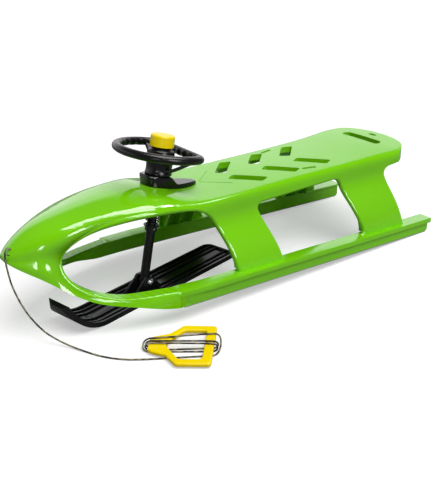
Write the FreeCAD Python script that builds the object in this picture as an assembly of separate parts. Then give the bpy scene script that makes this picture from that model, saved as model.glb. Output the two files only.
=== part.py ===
"""Steering sled: moulded shell on two runners, a sprung steering column with a front ski, and a tow cord.

Millimetres. The shell is drawn in its own frame first: X = 0 at the rear end of the runners,
+X to the nose, +Y to the left, Z = 0 at the underside of the glide strips.
The finished sled stands nose up on the ski and on the heels of the strips, on a floor at Z = 0,
with its origin on that floor under the middle of its length.
"""
import FreeCAD, Part
import math
import os

V = FreeCAD.Vector
UP = V(0, 0, 1)

# shell: x, half width at the foot, foot height, half width at the shoulder, shoulder height, crest height
STATIONS = [
    (0, 187, 0, 142, 232, 241),
    (88, 187, 0, 138, 229, 237),
    (200, 187, 0, 125, 222, 229),
    (330, 187, 0, 120, 216, 223),
    (535, 187, 0, 118, 209, 215),
    (650, 187, 0, 118, 205, 210),
    (720, 195, 0, 118, 204, 216),
    (800, 197, 0, 117, 206, 234),
    (850, 186, 4, 115, 205, 233),
    (920, 165, 20, 109, 198, 226),
    (985, 131, 33, 97, 185, 216),
    (1040, 101, 61, 80, 168, 203),
    (1085, 70, 92, 57, 153, 188),
    (1117, 47, 111, 39, 143, 170),
    (1136, 29, 123, 25, 137, 154),
    (1147, 13, 131, 11, 136, 142),
]
# points of an arch section as shares of the way: crest to shoulder, then shoulder to foot
CROWN = [(0.50, 0.16), (0.86, 0.52)]
FLANK = [(0.10, 0.19), (0.46, 0.44), (0.83, 0.66), (0.97, 0.85)]
DECK_WALL = 5.0
SIDE_WALL = 11.0
BAND_WIDTH = 34.0
BAND_START_X = 700.0
CAVITY_NOSE_X = 1085.0
CAVITY_DROP = 80.0
RIB_X = [150, 190, 230, 340, 430, 560, 600, 640, 730, 800]
RIB_THICK = 4.0
RIB_DEPTH = 20.0
TAIL_X = 22.0
TAIL_RADIUS = 60.0

# front opening in the flanks, from its rear foot round to the front end of its level lower edge:
# x, z, half width of the shell there, and how steeply the cut climbs outwards
RUNNER_TOP = 39.0
FRONT_WINDOW = [(649, RUNNER_TOP, 180, 0), (662, 98, 160, 0), (674, 137, 136, 0), (690, 165, 126, 0),
                (714, 183, 125, 0), (750, 194, 122, 0.4), (790, 199, 120, 0.7), (835, 201, 118, 0.7),
                (880, 201, 114, 0.7), (920, 198, 109, 0.7), (962, 191, 101, 0.7), (1000, 177, 94, 0.5),
                (1024, 160, 87, 0.2), (1040, 138, 87, 0), (1044, 112, 90, 0), (1032, 86, 100, 0),
                (1006, 63, 120, 0), (968, 46, 140, 0), (920, RUNNER_TOP, 165, 0)]
WINDOW_TOOL_Y = [0, 240]

# other openings in the flanks, seen from the left: x, z, corner radius
REAR_WINDOW = [(513, RUNNER_TOP, 10), (556, 172, 14), (292, 187, 26), (238, RUNNER_TOP, 10)]
TAIL_CUT = [(74, RUNNER_TOP - 80, 0), (144, 194, 20), (-60, 211, 0), (-60, RUNNER_TOP - 80, 0)]
TAIL_CUT_TOP = 190.0
WINDOW_ROUND = 6.0

# slots in the seat; a chevron's corners are given about its middle: x, y, corner radius
CHEVRON_X = [530, 426, 321]
CHEVRON_Y = 52.0
CHEVRON = [(-17, 39, 8), (-44, 26, 5), (18, -40, 8), (43, -24, 5)]
SKIRT_WALL = 3.0
SKIRT_DEPTH = 16.0
GROOVE_X = 609.0
GROOVE_Y = 28.0
GROOVE_LENGTH = 82.0
GROOVE_WIDTH = 3.0
GROOVE_ANGLE = 42.0
GROOVE_DEPTH = 1.2
SIDE_SLOT_X = 362.0
SIDE_SLOT_Y = 88.0
SIDE_SLOT_LENGTH = 40.0
SIDE_SLOT_WIDTH = 10.0
SIDE_SLOT_ANGLE = 14.0
GRIP_X = 90.0
GRIP_LENGTH = 140.0
GRIP_WIDTH = 27.0
HANG_X = 47.0
HANG_LENGTH = 27.0
HANG_WIDTH = 11.0

# runners
RUNNER_PLATE = 5.0
RUNNER_WALL = 5.0
FLANGE_OUTER = 200.0
FLANGE_INNER = 162.0
FLANGE_LIP = 13.0
FLANGE_OVERHANG = 8.0
BLADE_OUTER = 196.0
BLADE_INNER = 164.0
BLADE_END_X = 815.0
RUNNER_TAPER = 80.0
HEEL_RADIUS = 9.0

# steel glide strips under the blades, and their rivets
STRIP_THICK = 2.0
STRIP_HEEL_X = 14.0
STRIP_END_GAP = 4.0
RIVET_X = [60, 245, 430, 615, 795]
RIVET_RADIUS = 2.5
RIVET_HEAD_RADIUS = 4.5
RIVET_HEAD = 1.0
RIVET_BOSS_RADIUS = 7.5
RIVET_LENGTH = 20.0

# steering column: heights along it are measured up from where it crosses the deck
COLUMN_X = 757.0
COLUMN_Z = 236.0
COLUMN_RAKE = 10.3
COLUMN_RADIUS = 11.0
COLUMN_WALL = 2.0
COLUMN_FOOT = 16.0
RUN_FIT = 0.08
PRESS_FIT = 0.02
CLEARANCE = 0.3
PIVOT_DROP = 250.0
PIVOT_HEIGHT = 30.0
SUSPENSION_TRAVEL = 14.0
BUSH_RADIUS = 15.0
BUSH_FLANGE_RADIUS = 19.0
BUSH_FLANGE = 3.0
BUSH_SUNK = 5.0
BOSS_RADIUS = 22.0
BOSS_BOTTOM = -68.0
COLLAR_TOP = -111.0
COLLAR_RADIUS = 15.0
COLLAR_HEIGHT = 11.0
COLLAR_PIN_RADIUS = 2.0
WASHER_RADIUS = 19.0
WASHER_THICK = 2.5
SPRING_RADIUS = 14.5
SPRING_WIRE = 3.0
SPRING_TURNS = 4
TOP_PLUG_LENGTH = 26.0
FOOT_PLUG_LENGTH = 8.0

# base cover on the deck
COVER_FRONT_X = 796.0
COVER_REAR_X = 650.0
COVER_HALF_FRONT = 41.0
COVER_HALF_REAR = 26.0
COVER_BLOCK_REAR_X = 722.0
COVER_TONGUE = 7.0
COVER_TOP = 15.0
COVER_FRONT_CORNER = 34.0
COVER_REAR_CORNER = 23.0
COVER_SCREW = [(668, 12), (668, -12), (784, 20), (784, -20)]
COVER_SCREW_RADIUS = 1.8
COVER_SCREW_HEAD_RADIUS = 4.0
COVER_SCREW_HEAD = 3.0
COVER_SCREW_BITE = 5.0

# steering wheel and horn button
HUB_GAP = 0.5
HUB_FOOT_RADIUS = 32.0
HUB_RADIUS = 34.0
HUB_BELLY = 49.0
HUB_BELLY_TOP = 57.0
HUB_SHOULDER = 74.0
HUB_SHOULDER_RADIUS = 31.0
HUB_WEB = 60.0
HUB_WEB_THICK = 6.0
POST_RADIUS = 25.0
POST_TOP = 93.0
POST_BORE = 15.0
RIM_RADIUS = 103.0
RIM_BAR = 52.0
RIM_CORNER = 22.0
RIM_HALF_WIDTH = 11.0
RIM_HALF_THICK = 8.5
RIM_HEIGHT = 71.0
SPOKE_ANGLES = [104, 256]
SPOKE_HALF_WIDTH = 9.0
SPOKE_THICK = 9.0
SPOKE_FOOT = 22.0
SPOKE_ROOT_THICK = 10.0
SPOKE_SUNK = 6.0
SPOKE_LEVEL = 14.0
SCREW_RADIUS = 4.0
SCREW_HEAD_RADIUS = 6.5
SCREW_HEAD = 5.0
SCREW_BITE = 24.0
HUB_WASHER_RADIUS = 11.0
HUB_WASHER_THICK = 1.6
BUTTON_RADIUS = 28.5
BUTTON_BOTTOM = 82.0
BUTTON_TOP = 109.0
BUTTON_WALL = 3.0
BUTTON_ROUND = 5.0
BUTTON_TRAVEL = 6.0
HORN_SPRING_RADIUS = 19.0
HORN_SPRING_WIRE = 1.4
HORN_SPRING_TURNS = 3

# front ski, drawn about the foot of its pivot with +X forward and turned by the photographed steering angle
STEER_REST = 13.0
SKI_HALF_WIDTH = 51.0
SKI_REAR = 283.0
SKI_FLAT = 160.0
SKI_TIP_RADIUS = 110.0
SKI_TIP_ANGLE = 71.0
SKI_PLATE = 6.0
SKI_RIM = 12.0
SKI_RIM_WIDTH = 5.0
SKI_TIP_RIM = 9.0
SKI_RIB = 10.0
SKI_RIB_WIDTH = 4.0
SKI_RIB_Y = [-34, -16, 16, 34]
SKI_CORNER = 22.0
SKI_TIP_CORNER = 45.0
LUG_GAP = 1.5
LUG_THICK = 8.0
LUG_TOP_RADIUS = 14.0
LUG_FOOT_FRONT = 62.0
LUG_FOOT_REAR = 40.0
GUSSET_THICK = 5.0
GUSSET_REACH = 16.0
GUSSET_X = [-24, 30]
GUSSET_HEIGHT = 22.0
BOLT_RADIUS = 4.0
BOLT_HEAD_RADIUS = 8.5
BOLT_HEAD = 5.5
BOLT_WASHER_RADIUS = 9.5
BOLT_WASHER = 1.6
NUT_RADIUS = 7.5
NUT_HEIGHT = 6.5
BOLT_TAIL = 3.0

# tow cord: through a hole in the nose, over its left front, down to the floor and round the handle
CORD_RADIUS = 2.0
CORD_HOLE_X = 1131.0
CORD_HOLE_Y = 13.0
CORD_HOLE_WALL = 9.0
CORD_HOLE_CLEARANCE = 0.6
CORD_RISE = 5.0
CORD_BEND_SHARE = 0.45
KNOT_RADIUS = 6.0
KNOT_FLAT = 1.0
KNOT_ROOM = 9.0
CORD_POINTS = [(565, 17.5, 217), (570.5, 21.5, 199), (568, 20, 164), (564, 19, 130), (556, 31, 92),
               (543, 51, 54), (524, 80, 24), (500, 116, 8), (480, 154, 2.3), (458, 202, 2.2), (431, 237, 2.1)]
CORD_LEAD = 39.0

# tow handle, lying flat: its axis u runs from the grip to the narrow end, v across it; corners (u, v, radius)
HANDLE_GRIP = (254.7, 326.2)
HANDLE_HEADING = -40.4
HANDLE_HALF = [(0, 75.5, 8), (74, 76.5, 12), (100, 42, 14), (132, 30, 8), (141, 22, 6)]
HANDLE_WINDOW_HALF = [(21, 57, 8), (70, 57, 10), (101, 9, 7)]
HANDLE_THICK = 10.0
HANDLE_ROUND = 3.5
FLOOR_GAP = 0.1

# winding on the handle: each strand's start and end as (u, v), beneath it and above it by turns,
# and the extra room of the turn that follows the strand
WINDING_GAP = 0.4
WINDING_OUTSIDE = 6.0
WINDING_STRANDS = [((112, 41), (0, 26), WINDING_OUTSIDE), ((0, -40), (140, -14), WINDING_OUTSIDE),
                   ((140, 16), (0, 10), 0), ((0, 2), (140, 4), 0), ((140, 9), (0, -3), 0),
                   ((0, -8), (140, -5), 0), ((140, 0), (118, -1), 0)]

# springs: turn and rise, in wire diameters, between the straight end and the first coil
COIL_LEAD_ANGLE = 70.0
COIL_LEAD_RISE = 2.2

# cutting tools: beyond the sled on every side, through any one wall, and below and above the deck
FAR = 400.0
THROUGH = 100.0
DECK_LOW = 150.0
DECK_HIGH = 330.0


def spline(points):
    curve = Part.BSplineCurve()
    curve.interpolate(points)
    return curve.toShape()


def line(a, b):
    return Part.LineSegment(a, b).toShape()


def face_of(points):
    return Part.Face(Part.makePolygon(points + points[:1]))


def revolved(profile):
    """Turned piece about Z from its (radius, height) outline."""
    face = face_of([V(r, 0, z) for r, z in profile])
    return face.revolve(V(0, 0, 0), UP, 360)


def ring(inner, outer, low, high):
    return revolved([(inner, low), (outer, low), (outer, high), (inner, high)])


def rod(radius, low, high):
    return Part.makeCylinder(radius, high - low, V(0, 0, low))


def block(x0, x1, y0, y1, z0, z1):
    return Part.makeBox(x1 - x0, y1 - y0, z1 - z0, V(x0, y0, z0))


def joined(shapes):
    return shapes[0].fuse(shapes[1:]).removeSplitter()


def rounded_wire(corners, at):
    """Closed outline of straight runs and corner arcs; corners are (u, v, radius), at places a point."""
    count = len(corners)
    starts = []
    ends = []
    middles = []
    for i in range(count):
        u, v, radius = corners[i]
        here = V(u, v, 0)
        before = (V(*corners[i - 1][:2], 0) - here).normalize()
        after = (V(*corners[(i + 1) % count][:2], 0) - here).normalize()
        half = before.getAngle(after) / 2
        reach = radius / math.tan(half)
        starts.append(here + before * reach)
        ends.append(here + after * reach)
        middles.append(here + (before + after).normalize() * (radius / math.sin(half) - radius))
    edges = []
    for i in range(count):
        following = (i + 1) % count
        if corners[i][2]:
            edges.append(Part.Arc(at(starts[i]), at(middles[i]), at(ends[i])).toShape())
        edges.append(line(at(ends[i]), at(starts[following])))
    return Part.Wire(edges)


def side_prism(corners, half_depth):
    """Prism right across the sled from an outline seen from its left."""
    wire = rounded_wire(corners, lambda p: V(p.x, -half_depth, p.y))
    return Part.Face(wire).extrude(V(0, 2 * half_depth, 0))


def both_halves(half):
    """Corners of a plan that is the same on both sides of its long axis."""
    return half + [(x, -y, radius) for x, y, radius in reversed(half)]


def plan_prism(corners, low, high, wider=0.0):
    """Upright prism from a plan outline, widened all round."""
    face = Part.Face(rounded_wire(corners, lambda p: V(p.x, p.y, low)))
    if wider:
        face = face.makeOffset2D(wider)
    return face.extrude(V(0, 0, high - low))


def slot(x, y, length, width, angle):
    """Slot with round ends, straight down through the deck."""
    reach = (length - width) / 2
    body = block(-reach, reach, -width / 2, width / 2, DECK_LOW, DECK_HIGH)
    depth = DECK_HIGH - DECK_LOW
    ends = [Part.makeCylinder(width / 2, depth, V(side * reach, 0, DECK_LOW)) for side in (-1, 1)]
    shape = joined([body] + ends)
    shape.rotate(V(0, 0, 0), UP, angle)
    shape.translate(V(x, y, 0))
    return shape


def biarc(start, start_way, end, end_way):
    """Two arcs that leave start and reach end along the given unit directions."""
    chord = end - start
    ways = start_way + end_way
    turn = 2 * (1 - start_way.dot(end_way))
    lead = chord.dot(ways)
    reach = (-lead + math.sqrt(lead * lead + turn * chord.dot(chord))) / turn
    first = start + start_way * reach
    second = end - end_way * reach
    middle = (first + second) * 0.5
    return [tangent_arc(start, first, middle), tangent_arc(middle, second, end)]


def tangent_arc(start, corner, end):
    """Arc that touches start-corner and corner-end, which are equally long."""
    chord_middle = (start + end) * 0.5
    half_chord = (end - start).Length / 2
    lean = math.acos(half_chord / (corner - start).Length)
    rise = (corner - chord_middle).normalize() * (half_chord * math.tan(lean / 2))
    return Part.Arc(start, chord_middle + rise, end).toShape()


def coil_spring(radius, wire, turns, low, high):
    """One unbroken wire about Z: each end stands on its seat for one diameter, then runs into the coils."""
    lead_rise = COIL_LEAD_RISE * wire
    rise = (high - low - 2 * lead_rise) / turns
    quarter = 90.0
    slope = rise / (2 * math.pi * radius)
    places = []
    for i in range(4 * turns + 1):
        angle = math.radians(COIL_LEAD_ANGLE + i * quarter)
        spot = V(radius * math.cos(angle), radius * math.sin(angle), low + lead_rise + i * rise / 4)
        way = V(-math.sin(angle), math.cos(angle), slope).normalize()
        places.append((spot, way))
    last_angle = math.radians(2 * COIL_LEAD_ANGLE + 4 * turns * quarter)
    top = V(radius * math.cos(last_angle), radius * math.sin(last_angle), high)
    foot = V(radius, 0, low)
    edges = [line(foot, foot + UP * wire)]
    places = [(foot + UP * wire, UP)] + places + [(top - UP * wire, UP)]
    for (a, way_a), (b, way_b) in zip(places, places[1:]):
        edges += biarc(a, way_a, b, way_b)
    edges.append(line(top - UP * wire, top))
    path = Part.Wire(edges)
    section = Part.Wire([Part.Circle(foot, UP, wire / 2).toShape()])
    print("spring gap between coils", round(rise - wire, 2), "tightest bend",
          round(min(e.Curve.Radius for e in edges if hasattr(e.Curve, "Radius")), 2))
    return path.makePipeShell([section], True, False)


def arch_points(half_foot, foot_z, half_deck, shoulder_z, crest_z):
    """Half of an arch section, from its crest to its foot, as (y, z)."""
    half = [(0.0, crest_z)]
    for across, down in CROWN:
        half.append((across * half_deck, crest_z - down * (crest_z - shoulder_z)))
    half.append((half_deck, shoulder_z))
    for across, down in FLANK:
        half.append((half_deck + across * (half_foot - half_deck), shoulder_z - down * (shoulder_z - foot_z)))
    half.append((half_foot, foot_z))
    return half


def arch_wire(x, half, foot_drop):
    """Closed section: the arch over both halves, and a floor line foot_drop below its feet."""
    right = [V(x, -y, z) for y, z in reversed(half)]
    left = [V(x, y, z) for y, z in half[1:]]
    arch = right + left
    drop = UP * foot_drop
    corners = [arch[-1], arch[-1] - drop, arch[0] - drop, arch[0]]
    edges = [spline(arch)]
    for a, b in zip(corners, corners[1:]):
        if (a - b).Length > 0:
            edges.append(line(a, b))
    return Part.Wire(edges)


def envelope():
    """Outer form of the shell, solid."""
    return Part.makeLoft([arch_wire(s[0], arch_points(*s[1:]), 0) for s in STATIONS], True, False)


def cavity(extra_side, extra_deck):
    """Room under the shell: the arch drawn in by its walls, and open below."""
    wires = []
    for x, half_foot, foot_z, half_deck, shoulder_z, crest_z in STATIONS:
        foot_wall = BAND_WIDTH if x > BAND_START_X else SIDE_WALL
        inner = arch_points(half_foot - foot_wall - extra_side, foot_z, half_deck - SIDE_WALL - extra_side,
                            shoulder_z - DECK_WALL - extra_deck, crest_z - DECK_WALL - extra_deck)
        if x <= CAVITY_NOSE_X:
            wires.append(arch_wire(x, inner, CAVITY_DROP))
    return Part.makeLoft(wires, True, False)


def tail_trim(inset):
    """What lies outside the round plan of the seat's tail."""
    half_tail = STATIONS[0][3] - inset
    radius = TAIL_RADIUS - inset
    start = TAIL_X + inset
    far = TAIL_X + TAIL_RADIUS
    plan = [(start, -half_tail, radius), (2 * far, -half_tail, 0),
            (2 * far, half_tail, 0), (start, half_tail, radius)]
    stock = block(-THROUGH, far, -FAR, FAR, TAIL_CUT_TOP - CAVITY_DROP, FAR)
    return stock.cut(plan_prism(plan, 0, FAR))


def front_tool():
    """Cutting tool of the left front opening: its upper side climbs outwards, square to the hood."""
    stations = [0.0]
    for (x0, z0, *_), (x1, z1, *_) in zip(FRONT_WINDOW, FRONT_WINDOW[1:]):
        stations.append(stations[-1] + math.hypot(x1 - x0, z1 - z0))
    wires = []
    for y in WINDOW_TOOL_Y:
        points = [V(x, y, z + climb * (y - edge)) for x, z, edge, climb in FRONT_WINDOW]
        curve = Part.BSplineCurve()
        curve.interpolate(Points=points, Parameters=stations)
        wires.append(Part.Wire([curve.toShape(), line(points[-1], points[0])]))
    return Part.makeLoft(wires, True, True)


def rounded_window(solid, outline, tools):
    """Window through both flanks with its outer edges rounded over."""
    low_x = min(c[0] for c in outline)
    high_x = max(c[0] for c in outline)
    low_z = min(c[1] for c in outline)
    opened = solid.cut(tools)
    edges = []
    for edge in opened.Edges:
        box = edge.BoundBox
        inside = box.XMin > low_x - 1 and box.XMax < high_x + 1 and box.ZMin > low_z - 1
        if inside and (box.YMin > SIDE_WALL or box.YMax < -SIDE_WALL):
            edges.append(edge)
    return opened.makeFillet(WINDOW_ROUND, edges)


def column_placement(height):
    """Place of the column's own frame, standing height above the deck crossing."""
    way = FreeCAD.Rotation(V(0, 1, 0), -COLUMN_RAKE)
    lift = FreeCAD.Placement(V(0, 0, height), FreeCAD.Rotation())
    return FreeCAD.Placement(V(COLUMN_X, 0, COLUMN_Z), way).multiply(lift)


def stance_placement():
    """Turns the sled nose up about its heels until the ski pivot stands at its height, then centres it."""
    pivot = column_placement(-PIVOT_DROP).Base - V(STRIP_HEEL_X, 0, 0)
    reach = math.hypot(pivot.x, pivot.z)
    nose_up = math.asin(PIVOT_HEIGHT / reach) - math.atan2(pivot.z, pivot.x)
    lift = FreeCAD.Rotation(V(0, 1, 0), -math.degrees(nose_up))
    turn = FreeCAD.Placement(V(0, 0, 0), lift, V(STRIP_HEEL_X, 0, 0))
    tail = turn.multVec(V(0, 0, RUNNER_TOP))
    nose = turn.multVec(V(STATIONS[-1][0], 0, STATIONS[-1][2]))
    return FreeCAD.Placement(V(-(tail.x + nose.x) / 2, 0, 0), FreeCAD.Rotation()).multiply(turn)


STANCE = stance_placement()
PIVOT = STANCE.multVec(column_placement(-PIVOT_DROP).Base)
SKI_PLACE = FreeCAD.Placement(V(PIVOT.x, PIVOT.y, 0), FreeCAD.Rotation(UP, STEER_REST))


def placed(shape, placement):
    moved = shape.copy()
    moved.Placement = placement.multiply(shape.Placement)
    return moved


def on_sled(shape):
    return placed(shape, STANCE)


def on_column(shape):
    return placed(shape, STANCE.multiply(column_placement(0)))


def on_ski(shape):
    return placed(shape, SKI_PLACE)


def across_ski(shape):
    """Lays a piece drawn along Z across the ski, at its pivot, with +Z to the left."""
    laid = shape.copy()
    laid.rotate(V(0, 0, 0), V(1, 0, 0), -90)
    laid.translate(V(0, 0, PIVOT_HEIGHT))
    return on_ski(laid)


def in_column(shape):
    """A piece drawn along the column, in the shell's frame."""
    return placed(shape, column_placement(0))


def deck_height(outer, x, y):
    return outer.common(line(V(x, y, 0), V(x, y, FAR))).BoundBox.ZMax


def seat_slots(wider):
    """Slots and holes through the seat, widened all round."""
    slots = []
    for x in CHEVRON_X:
        corners = [(x + u, CHEVRON_Y + v, radius) for u, v, radius in CHEVRON]
        left = plan_prism(corners, DECK_LOW, DECK_HIGH, wider)
        slots += [left, mirrored(left, -1)]
    more = 2 * wider
    for side in (-1, 1):
        slots.append(slot(SIDE_SLOT_X, side * SIDE_SLOT_Y, SIDE_SLOT_LENGTH + more, SIDE_SLOT_WIDTH + more,
                          -side * SIDE_SLOT_ANGLE))
    slots.append(slot(GRIP_X, 0, GRIP_LENGTH + more, GRIP_WIDTH + more, 90))
    slots.append(slot(HANG_X, 0, HANG_LENGTH + more, HANG_WIDTH + more, 90))
    return slots


def lowered(outer, depth):
    copy = outer.copy()
    copy.translate(V(0, 0, -depth))
    return copy


def slot_skirts(outer):
    """Walls that hang from the deck round the seat's slots."""
    below = lowered(outer, SKIRT_DEPTH)
    return [skirt.cut(below) for skirt in seat_slots(SKIRT_WALL)]


def deck_grooves(outer):
    """Shallow V on the deck behind the base cover."""
    below = lowered(outer, GROOVE_DEPTH)
    return [slot(GROOVE_X, side * GROOVE_Y, GROOVE_LENGTH, GROOVE_WIDTH, -side * GROOVE_ANGLE).cut(below)
            for side in (-1, 1)]


def sled_shell(outer):
    left = front_tool()
    solid = rounded_window(outer, FRONT_WINDOW, [left, mirrored(left, -1)])
    solid = rounded_window(solid, REAR_WINDOW, [side_prism(REAR_WINDOW, FAR)])
    solid = solid.cut(side_prism(TAIL_CUT, FAR)).cut(tail_trim(0))
    slabs = [block(x - RIB_THICK / 2, x + RIB_THICK / 2, -FAR, FAR, -FAR, FAR) for x in RIB_X]
    ribs = Part.makeCompound(slabs).cut(cavity(RIB_DEPTH, RIB_DEPTH))
    pocket = cavity(0, 0).cut(ribs).cut(tail_trim(DECK_WALL)).cut(slot_skirts(outer))
    shell = solid.cut(pocket)
    boss = in_column(rod(BOSS_RADIUS, BOSS_BOTTOM, DECK_WALL)).common(outer)
    shell = joined([shell, boss])
    shell = shell.cut(block(-THROUGH, BLADE_END_X, -FAR, FAR, -FAR, RUNNER_TOP))
    bore = rod(BUSH_RADIUS + PRESS_FIT, BOSS_BOTTOM - THROUGH, THROUGH)
    cuts = [in_column(bore)] + seat_slots(0) + deck_grooves(outer)
    for x, y in COVER_SCREW:
        seat = deck_height(outer, x, y) - DECK_WALL
        cuts.append(Part.makeCylinder(COVER_SCREW_RADIUS, THROUGH, V(x, y, seat)))
        cuts.append(Part.makeCylinder(COVER_SCREW_HEAD_RADIUS + CLEARANCE, THROUGH, V(x, y, seat - THROUGH)))
    seat = cord_seat(outer)
    cuts.append(Part.makeCylinder(CORD_RADIUS + CORD_HOLE_CLEARANCE, THROUGH, seat))
    cuts.append(Part.makeCylinder(KNOT_ROOM, THROUGH, seat - UP * THROUGH))
    return shell.cut(cuts)


def cord_seat(outer):
    """Where the cord's knot bears under the nose."""
    top = deck_height(outer, CORD_HOLE_X, CORD_HOLE_Y)
    return V(CORD_HOLE_X, CORD_HOLE_Y, top - CORD_HOLE_WALL)


def runner(side):
    """Inverted channel with a flange on top, and a boss for each rivet of its strip."""
    plate = block(0, BLADE_END_X, FLANGE_INNER, FLANGE_OUTER, RUNNER_TOP - RUNNER_PLATE, RUNNER_TOP)
    lip = block(0, BLADE_END_X, BLADE_OUTER - RUNNER_WALL, FLANGE_OUTER, RUNNER_TOP - FLANGE_LIP, RUNNER_TOP)
    blade = block(FLANGE_OVERHANG, BLADE_END_X, BLADE_INNER, BLADE_OUTER, STRIP_THICK, RUNNER_TOP)
    rear = [e for e in blade.Edges if e.BoundBox.XMax < FLANGE_OVERHANG + 1]
    heel = [e for e in rear if e.BoundBox.ZMax < STRIP_THICK + 1]
    blade = blade.makeFillet(HEEL_RADIUS, heel)
    hollow = block(FLANGE_OVERHANG + RUNNER_WALL + HEEL_RADIUS, BLADE_END_X - RUNNER_WALL,
                   BLADE_INNER + RUNNER_WALL, BLADE_OUTER - RUNNER_WALL, 0, RUNNER_TOP - RUNNER_PLATE)
    middle = (BLADE_INNER + BLADE_OUTER) / 2
    bosses = [Part.makeCylinder(RIVET_BOSS_RADIUS, RUNNER_TOP - STRIP_THICK - RUNNER_PLATE / 2,
                                V(x, middle, STRIP_THICK)) for x in RIVET_X]
    taper = plan_prism([(BLADE_END_X - RUNNER_TAPER, FLANGE_OUTER, 0), (BLADE_END_X, BLADE_OUTER, 0),
                        (BLADE_END_X, FAR, 0), (BLADE_END_X - RUNNER_TAPER, FAR, 0)], 0, FAR)
    shape = joined([joined([plate, lip, blade]).cut(hollow).cut(taper)] + bosses)
    holes = [Part.makeCylinder(RIVET_RADIUS, RIVET_LENGTH, V(x, middle, 0)) for x in RIVET_X]
    return mirrored(shape.cut(holes), side)


def mirrored(shape, side):
    return shape if side > 0 else shape.mirror(V(0, 0, 0), V(0, 1, 0))


def glide_strip(side):
    strip = block(STRIP_HEEL_X, BLADE_END_X - STRIP_END_GAP, BLADE_INNER, BLADE_OUTER, 0, STRIP_THICK)
    middle = (BLADE_INNER + BLADE_OUTER) / 2
    for x in RIVET_X:
        strip = strip.cut(Part.makeCylinder(RIVET_RADIUS, STRIP_THICK, V(x, middle, 0)))
        strip = strip.cut(Part.makeCylinder(RIVET_HEAD_RADIUS, RIVET_HEAD, V(x, middle, 0)))
    return mirrored(strip, side)


def strip_rivets():
    rivets = []
    middle = (BLADE_INNER + BLADE_OUTER) / 2
    for side in (-1, 1):
        for x in RIVET_X:
            rivet = revolved([(0, CLEARANCE), (RIVET_HEAD_RADIUS, CLEARANCE), (RIVET_HEAD_RADIUS, RIVET_HEAD),
                              (RIVET_RADIUS, RIVET_HEAD), (RIVET_RADIUS, RIVET_LENGTH), (0, RIVET_LENGTH)])
            rivet.translate(V(x, side * middle, 0))
            rivets.append(rivet)
    return Part.makeCompound(rivets)


def base_cover(outer):
    """Teardrop cover: a block square to the column in front, and a low tongue behind it along the deck."""
    half = [(COVER_FRONT_X, COVER_HALF_FRONT, COVER_FRONT_CORNER),
            (COVER_REAR_X, COVER_HALF_REAR, COVER_REAR_CORNER)]
    solid = plan_prism(both_halves(half), DECK_LOW, DECK_HIGH)
    above = in_column(block(-FAR, FAR, -FAR, FAR, COVER_TOP, FAR))
    solid = solid.cut(above)
    lifted = outer.copy()
    lifted.translate(V(0, 0, COVER_TONGUE))
    behind = block(0, COVER_BLOCK_REAR_X, -FAR, FAR, 0, FAR).cut(lifted)
    solid = solid.cut(behind).cut(outer)
    solid = solid.cut(in_column(rod(BUSH_RADIUS + CLEARANCE, -THROUGH, THROUGH)))
    holes = []
    for x, y in COVER_SCREW:
        seat = deck_height(outer, x, y) - DECK_WALL
        holes.append(Part.makeCylinder(COVER_SCREW_RADIUS, DECK_WALL + COVER_SCREW_BITE, V(x, y, seat)))
    return solid.cut(holes)


def cover_screws(outer):
    screws = []
    for x, y in COVER_SCREW:
        seat = deck_height(outer, x, y) - DECK_WALL
        shank = Part.makeCylinder(COVER_SCREW_RADIUS, DECK_WALL + COVER_SCREW_BITE, V(x, y, seat))
        head = Part.makeCylinder(COVER_SCREW_HEAD_RADIUS, COVER_SCREW_HEAD, V(x, y, seat - COVER_SCREW_HEAD))
        screws.append(joined([shank, head]))
    return Part.makeCompound(screws)


def column_bush():
    bore = COLUMN_RADIUS + RUN_FIT
    top = COVER_TOP - BUSH_SUNK
    foot = BOSS_BOTTOM - BUSH_FLANGE
    return revolved([(bore, foot), (BUSH_FLANGE_RADIUS, foot), (BUSH_FLANGE_RADIUS, BOSS_BOTTOM),
                     (BUSH_RADIUS, BOSS_BOTTOM), (BUSH_RADIUS, top), (bore, top)])


def steering_column():
    tube = ring(COLUMN_RADIUS - COLUMN_WALL, COLUMN_RADIUS, -PIVOT_DROP - COLUMN_FOOT, HUB_WEB)
    bolt = across_ski(rod(BOLT_RADIUS + RUN_FIT, -THROUGH, THROUGH))
    return on_column(tube.cut(collar_pin())).cut(bolt)


def column_collar():
    low = COLLAR_TOP - COLLAR_HEIGHT
    return ring(COLUMN_RADIUS + PRESS_FIT, COLLAR_RADIUS, low, COLLAR_TOP).cut(collar_pin())


def collar_pin():
    middle = COLLAR_TOP - COLLAR_HEIGHT / 2
    return Part.makeCylinder(COLLAR_PIN_RADIUS, 2 * COLLAR_RADIUS, V(0, -COLLAR_RADIUS, middle), V(0, 1, 0))


def thrust_washer():
    return ring(COLUMN_RADIUS + RUN_FIT, WASHER_RADIUS, COLLAR_TOP, COLLAR_TOP + WASHER_THICK)


def suspension_spring():
    low = COLLAR_TOP + WASHER_THICK
    return coil_spring(SPRING_RADIUS, SPRING_WIRE, SPRING_TURNS, low, BOSS_BOTTOM - BUSH_FLANGE)


def column_top_plug():
    return ring(SCREW_RADIUS, COLUMN_RADIUS - COLUMN_WALL - PRESS_FIT, HUB_WEB - TOP_PLUG_LENGTH, HUB_WEB)


def column_foot_plug():
    foot = -PIVOT_DROP - COLUMN_FOOT
    return rod(COLUMN_RADIUS - COLUMN_WALL - PRESS_FIT, foot, foot + FOOT_PLUG_LENGTH)


def rim_section(x, y):
    centre = V(x, y, RIM_HEIGHT)
    oval = Part.Ellipse(centre + V(RIM_HALF_WIDTH, 0, 0), centre + V(0, 0, RIM_HALF_THICK), centre)
    return Part.Face(Part.Wire([oval.toShape()]))


def rim_arc(centre, radius, start, sweep):
    arc = rim_section(radius, 0).revolve(V(0, 0, 0), UP, sweep)
    arc.rotate(V(0, 0, 0), UP, start)
    arc.translate(centre)
    return arc


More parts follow.
